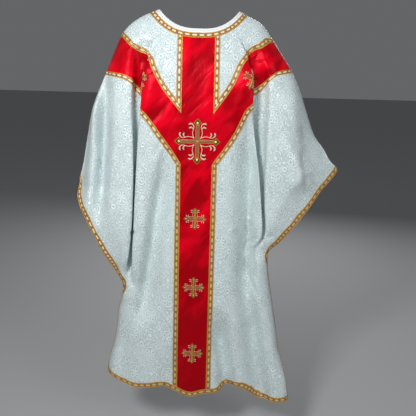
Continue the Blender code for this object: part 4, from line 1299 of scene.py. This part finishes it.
def make_cross(panel, name, s, t, size, turn, mats, small):
    """A budded cross of four equal arms with lozenge ends and curling stems."""
    pen = Needle(panel, s, t, size, turn, 0.0011)
    k = 1.35 if small else 1.0
    bar, rim = 0.070 * (1.1 if small else 1.0), 0.012 * k
    for quarter in range(4):
        c, sn = round(math.cos(quarter * math.pi / 2)), round(math.sin(quarter * math.pi / 2))
        spin = lambda p: np.stack([np.asarray(p, float)[..., 0] * c - np.asarray(p, float)[..., 1] * sn,
                                   np.asarray(p, float)[..., 0] * sn + np.asarray(p, float)[..., 1] * c], axis=-1)
        bars = 0 if (quarter % 2 == 0 or not small) else 1
        # the arm and the two thin lines beside it
        line = np.stack([np.linspace(0.0, 0.350, 22), np.zeros(22)], axis=1)
        pen.cord(spin(line), bar, 0.0013, bars, 11, stripes=bars == 0)
        for e in (1, -1):
            line = np.stack([np.linspace(bar / 2 + rim / 2, 0.362, 22), np.full(22, e * (bar / 2 + rim * 0.1))], axis=1)
            pen.cord(spin(line), rim, 0.0016, 1, 5)
        # the lozenge end
        side, tip, foot, mid = 0.088, 0.5, 0.335, 0.405
        corners = [(tip - mid - rim / 2, 0), (0, side - rim / 2), (foot - mid + rim / 2, 0), (0, -side + rim / 2)]
        fill = [(x * 0.98, y * 0.98) for x, y in corners]
        a0 = quarter * math.pi / 2
        pen.disc(spin((mid, 0)), lambda v: kite(v - a0, fill), 0.0009, 2, 3, 32)
        ring = np.array([(mid + x, y) for x, y in corners])
        for m in range(4):
            a, b = ring[m], ring[(m + 1) % 4]
            pen.cord(spin(a + (b - a) * np.linspace(-0.02, 1.02, 9)[:, None]), rim * 1.05, 0.0017, 1, 5)
        drop = [(0.036, 0), (0.0, 0.038), (-0.072, 0), (0.0, -0.038)]
        pen.disc(spin((mid - 0.002, 0)), lambda v: 0.5 * kite(v - a0, drop) + 0.013, 0.0022, 4, 4, 20)
        # the stems, one on each side of the arm
        for e in (1, -1):
            stem = resample([(0.070, 0.062), (0.092, 0.086), (0.135, 0.098), (0.190, 0.106), (0.250, 0.094),
                             (0.312, 0.080), (0.352, 0.092), (0.382, 0.128), (0.382, 0.170), (0.364, 0.196)], 0.007)
            w = np.interp(np.linspace(0, 1, len(stem)), [0, 0.08, 0.2, 0.62, 0.80, 0.92, 1.0], [0.012, 0.022, 0.014, 0.014, 0.028, 0.036, 0.012]) * (0.95 if small else 1.0)
            pen.cord(spin(stem * (1, e)), w, 0.0014, 3, 7)
            leaf = resample([(0.250, 0.094), (0.284, 0.104), (0.303, 0.134), (0.300, 0.166), (0.284, 0.186)], 0.007)
            w = np.interp(np.linspace(0, 1, len(leaf)), [0, 0.3, 0.7, 0.9, 1.0], [0.010, 0.020, 0.032, 0.026, 0.010]) * (0.95 if small else 1.0)
            pen.cord(spin(leaf * (1, e)), w, 0.0013, 3, 7)
    # the lozenge where the arms meet
    pen.disc(np.zeros(2), lambda v: kite(v, [(0.052, 0), (0, 0.052), (-0.052, 0), (0, -0.052)]), 0.0020, 1, 4, 24)
    return pen.joined.make(name, mats)


# ------------------------------------------------------------ the garment
MATS = {
    "brocade": make_brocade(),
    "satin": make_satin(),
    "galloon": make_galloon(),
    "band": make_band(),
}
THREADS = [
    make_bar(),
    make_thread("gold_thread", (0.36, 0.17, 0.02), (0.74, 0.45, 0.08), 0.45, 0.36),
    make_thread("dark_fill", (0.06, 0.008, 0.010), (0.16, 0.02, 0.02), 0.0, 0.5),
    make_thread("cream_thread", (0.46, 0.43, 0.29), (0.74, 0.72, 0.52), 0.10, 0.42),
    make_thread("bead_thread", (0.80, 0.66, 0.02), (0.98, 0.92, 0.14), 0.15, 0.30),
]


def within(points, ring):
    """True for flat points inside a closed line."""
    x, y = points[..., 0], points[..., 1]
    hit = np.zeros(x.shape, bool)
    for k in range(len(ring)):
        (x0, y0), (x1, y1) = ring[k], ring[(k + 1) % len(ring)]
        crosses = (y0 > y) != (y1 > y)
        at = x0 + (y - y0) * (x1 - x0) / (y1 - y0 if y1 != y0 else 1e-12)
        hit ^= crosses & (x < at)
    return hit


def pieces_of(name):
    panel = Panel(name)
    rows, cols = panel.grid.shape[:2]
    back = name == "back"
    cloth = new_piece(
        f"cloth_{name}", panel.grid.reshape(-1, 3), quads(rows, cols, flip=not back),
        {"flat": np.stack([panel.s, -panel.t], axis=-1).reshape(-1, 2)}, [MATS["brocade"]],
    )
    made = {f"{name}_panel": cloth}

    # neck binding and galloon, along the yoke's rows
    flat = np.stack([panel.s, panel.t], axis=-1)
    roll = ((0.42, -1.7), (0.10, -1.9), (-0.03, -1.2), (-0.06, -0.2), (-0.02, 0.55), (0.08, 0.85),
            (0.30, 0.95), (0.44, 0.85), (0.50, 0.62), (0.56, 0.80), (0.75, 0.80), (1.0, 0.30))
    made[f"neck_band_{name}"] = tape(panel, flat[0], flat[3], f"binding_{name}", MATS["band"], roll, BAND)
    made[f"galloon_neck_{name}"] = tape(panel, flat[3], flat[7], f"tape_neck_{name}", MATS["galloon"], lift=0.45)

    # galloon round the sleeves, sides and hem
    parts = []
    for j, sign, side in ((0, -1, "L"), (cols - 1, 1, "R")):
        low = panel.grid[:, j, 2] < SLEEVE_TIP[side] - 0.001
        line = np.vstack([panel.mark(sign, "edge", SLEEVE_TIP[side])[None], flat[low, j]])
        parts.append(resample(line, 0.004, False))
    bottom = resample(flat[-1], 0.004, False)
    pairs = strips([parts[0], bottom, parts[1][::-1]], -GALLOON)
    pairs[0] = cut_at_seam(panel, -1, pairs[0], 0)
    pairs[-1] = cut_at_seam(panel, 1, pairs[-1], -1)
    made[f"galloon_edge_{name}"] = trim(panel, pairs, f"tape_edge_{name}", MATS["galloon"], 0.45)

    # galloon beside the orphrey
    regions = []
    for sign, side, word in ((-1, "L", "left"), (1, "R", "right")):
        j = panel.mid + sign * MARK["red"]
        column = flat[:, j]
        above, below = LINES[name, side, "above"], LINES[name, side, "below"]
        names = ("red", "mid", "b0", "B", "f2", "nose", "n0", "wing", "edge")
        up = np.array([panel.mark(sign, c, z) for c, z in zip(names, above)])
        down = np.array([panel.mark(sign, c, z) for c, z in zip(names, below)])
        up, down = resample(up, 0.004), resample(down, 0.004)
        neck_t = column[7, 1] - 0.003
        post = column[(column[:, 1] > neck_t) & (column[:, 1] < up[0, 1] - 0.001)]
        post = resample(np.vstack([[np.interp(neck_t, column[:, 1], column[:, 0]), neck_t], post, up[0]]), 0.004, False)
        pairs = strips([post, up], -sign * GALLOON)
        pairs[-1] = cut_at_seam(panel, sign, pairs[-1], -1)
        made[f"galloon_v_{word}_{name}"] = trim(panel, pairs, f"tape_v_{word}_{name}", MATS["galloon"], 0.25)
        end_t = column[-1, 1] - GALLOON + 0.004
        leg = column[(column[:, 1] > down[0, 1] + 0.001) & (column[:, 1] < end_t)]
        leg = resample(np.vstack([down[0], leg, [np.interp(end_t, column[:, 1], column[:, 0]), end_t]]), 0.004, False)
        pairs = strips([down[::-1], leg], -sign * GALLOON)
        pairs[0] = cut_at_seam(panel, sign, pairs[0], 0)
        made[f"galloon_pillar_{word}_{name}"] = trim(panel, pairs, f"tape_pillar_{word}_{name}", MATS["galloon"], 0.25)
        # the red of this arm, out to the middle of its galloon
        half = sign * GALLOON * 0.5
        out = unit(up[-1] - up[-6]) * 0.02
        ring = np.vstack([
            offset(up, -half), [offset(up, -half)[-1] + out], [offset(down, half)[-1] + out], offset(down, half)[::-1],
        ])
        regions.append(ring)

    # the satin
    centre = (flat[:-1, :-1] + flat[1:, 1:] + flat[:-1, 1:] + flat[1:, :-1]) / 4
    away = np.minimum(np.abs(np.arange(cols - 1) - panel.mid), np.abs(np.arange(cols - 1) + 1 - panel.mid))
    keep = np.broadcast_to((away < MARK["red"] + 2)[None, :], centre.shape[:2]).copy()
    for ring in regions:
        keep |= within(centre, ring)
    keep[:5] = False
    keep[:, :1] &= True
    hem_t = flat[-1, :, 1]
    hem_mid = (hem_t[:-1] + hem_t[1:]) / 2
    keep &= centre[..., 1] < (hem_mid - GALLOON * 0.5)[None, :]
    red = panel.grid + panel.normal * 0.0006
    satin = new_piece(
        f"satin_{name}", red.reshape(-1, 3), quads(rows, cols, keep, flip=not back),
        {"flat": np.stack([panel.s, -panel.t], axis=-1).reshape(-1, 2)}, [MATS["satin"]],
    )
    clean(satin)
    made[f"orphrey_{name}"] = satin

    if back:
        for mark, s, t, size, turn in CROSSES:
            made[f"cross_{mark}"] = make_cross(
                panel, f"stitched_{mark}", s, t, size, turn, THREADS, mark != "large"
            )
    return panel, made


def clean(obj):
    """Drops points that no face uses."""
    bm = bmesh.new()
    bm.from_mesh(obj.data)
    bmesh.ops.delete(bm, geom=[v for v in bm.verts if not v.link_faces], context="VERTS")
    bm.to_mesh(obj.data)
    bm.free()


SLOT = {"brocade": "brocade", "satin": "satin", "galloon": "galloon"}
for name in ("back", "front"):
    panel, made = pieces_of(name)
    for node, piece in made.items():
        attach(piece, "root")
        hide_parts(node)
    wide, long = float(panel.s.max() - panel.s.min()), float(panel.t.max() - panel.t.min())

# ---------------------------------------------------------------- studio
floor_mesh = bpy.data.meshes.new("floor")
floor_mesh.from_pydata([(-25, -25, FLOOR), (25, -25, FLOOR), (25, 25, FLOOR), (-25, 25, FLOOR)], [], [(0, 1, 2, 3)])
floor = bpy.data.objects.new("floor", floor_mesh)
bpy.context.scene.collection.objects.link(floor)
paper = Nodes("floor_paper")
paper.finish((0.40, 0.405, 0.41), 0.9)
floor_mesh.materials.append(paper.m)


def light(name, at, aim, size, power, colour=(1, 1, 1)):
    data = bpy.data.lights.new(name, "AREA")
    data.shape = "RECTANGLE"
    data.size, data.size_y = size
    data.energy = power
    data.color = colour
    obj = bpy.data.objects.new(name, data)
    obj.location = at
    obj.rotation_euler = (Vector(aim) - Vector(at)).to_track_quat("-Z", "Y").to_euler()
    bpy.context.scene.collection.objects.link(obj)
    return obj


for spec in LIGHTS:
    light(*spec)

world = bpy.data.worlds.new("studio")
bpy.context.scene.world = world
world.use_nodes = True
world.node_tree.nodes["Background"].inputs[0].default_value = (*WORLD[0], 1)
world.node_tree.nodes["Background"].inputs[1].default_value = WORLD[1]

camera = bpy.data.cameras.new("camera")
camera.sensor_width = 36.0
camera.lens = 560.0 / 416.0 * 36.0
eye = bpy.data.objects.new("camera", camera)
eye.matrix_world = (
    Matrix.Translation((0.0, -1.90, -0.172))
    @ Matrix.Rotation(math.radians(-1.35), 4, "Z")
    @ Matrix.Rotation(math.radians(90.0 - 14.2), 4, "X")
    @ Matrix.Rotation(math.radians(1.6), 4, "Z")
)
bpy.context.scene.collection.objects.link(eye)
bpy.context.scene.camera = eye
bpy.context.scene.view_settings.view_transform = "Standard"
bpy.context.scene.view_settings.look = "None"
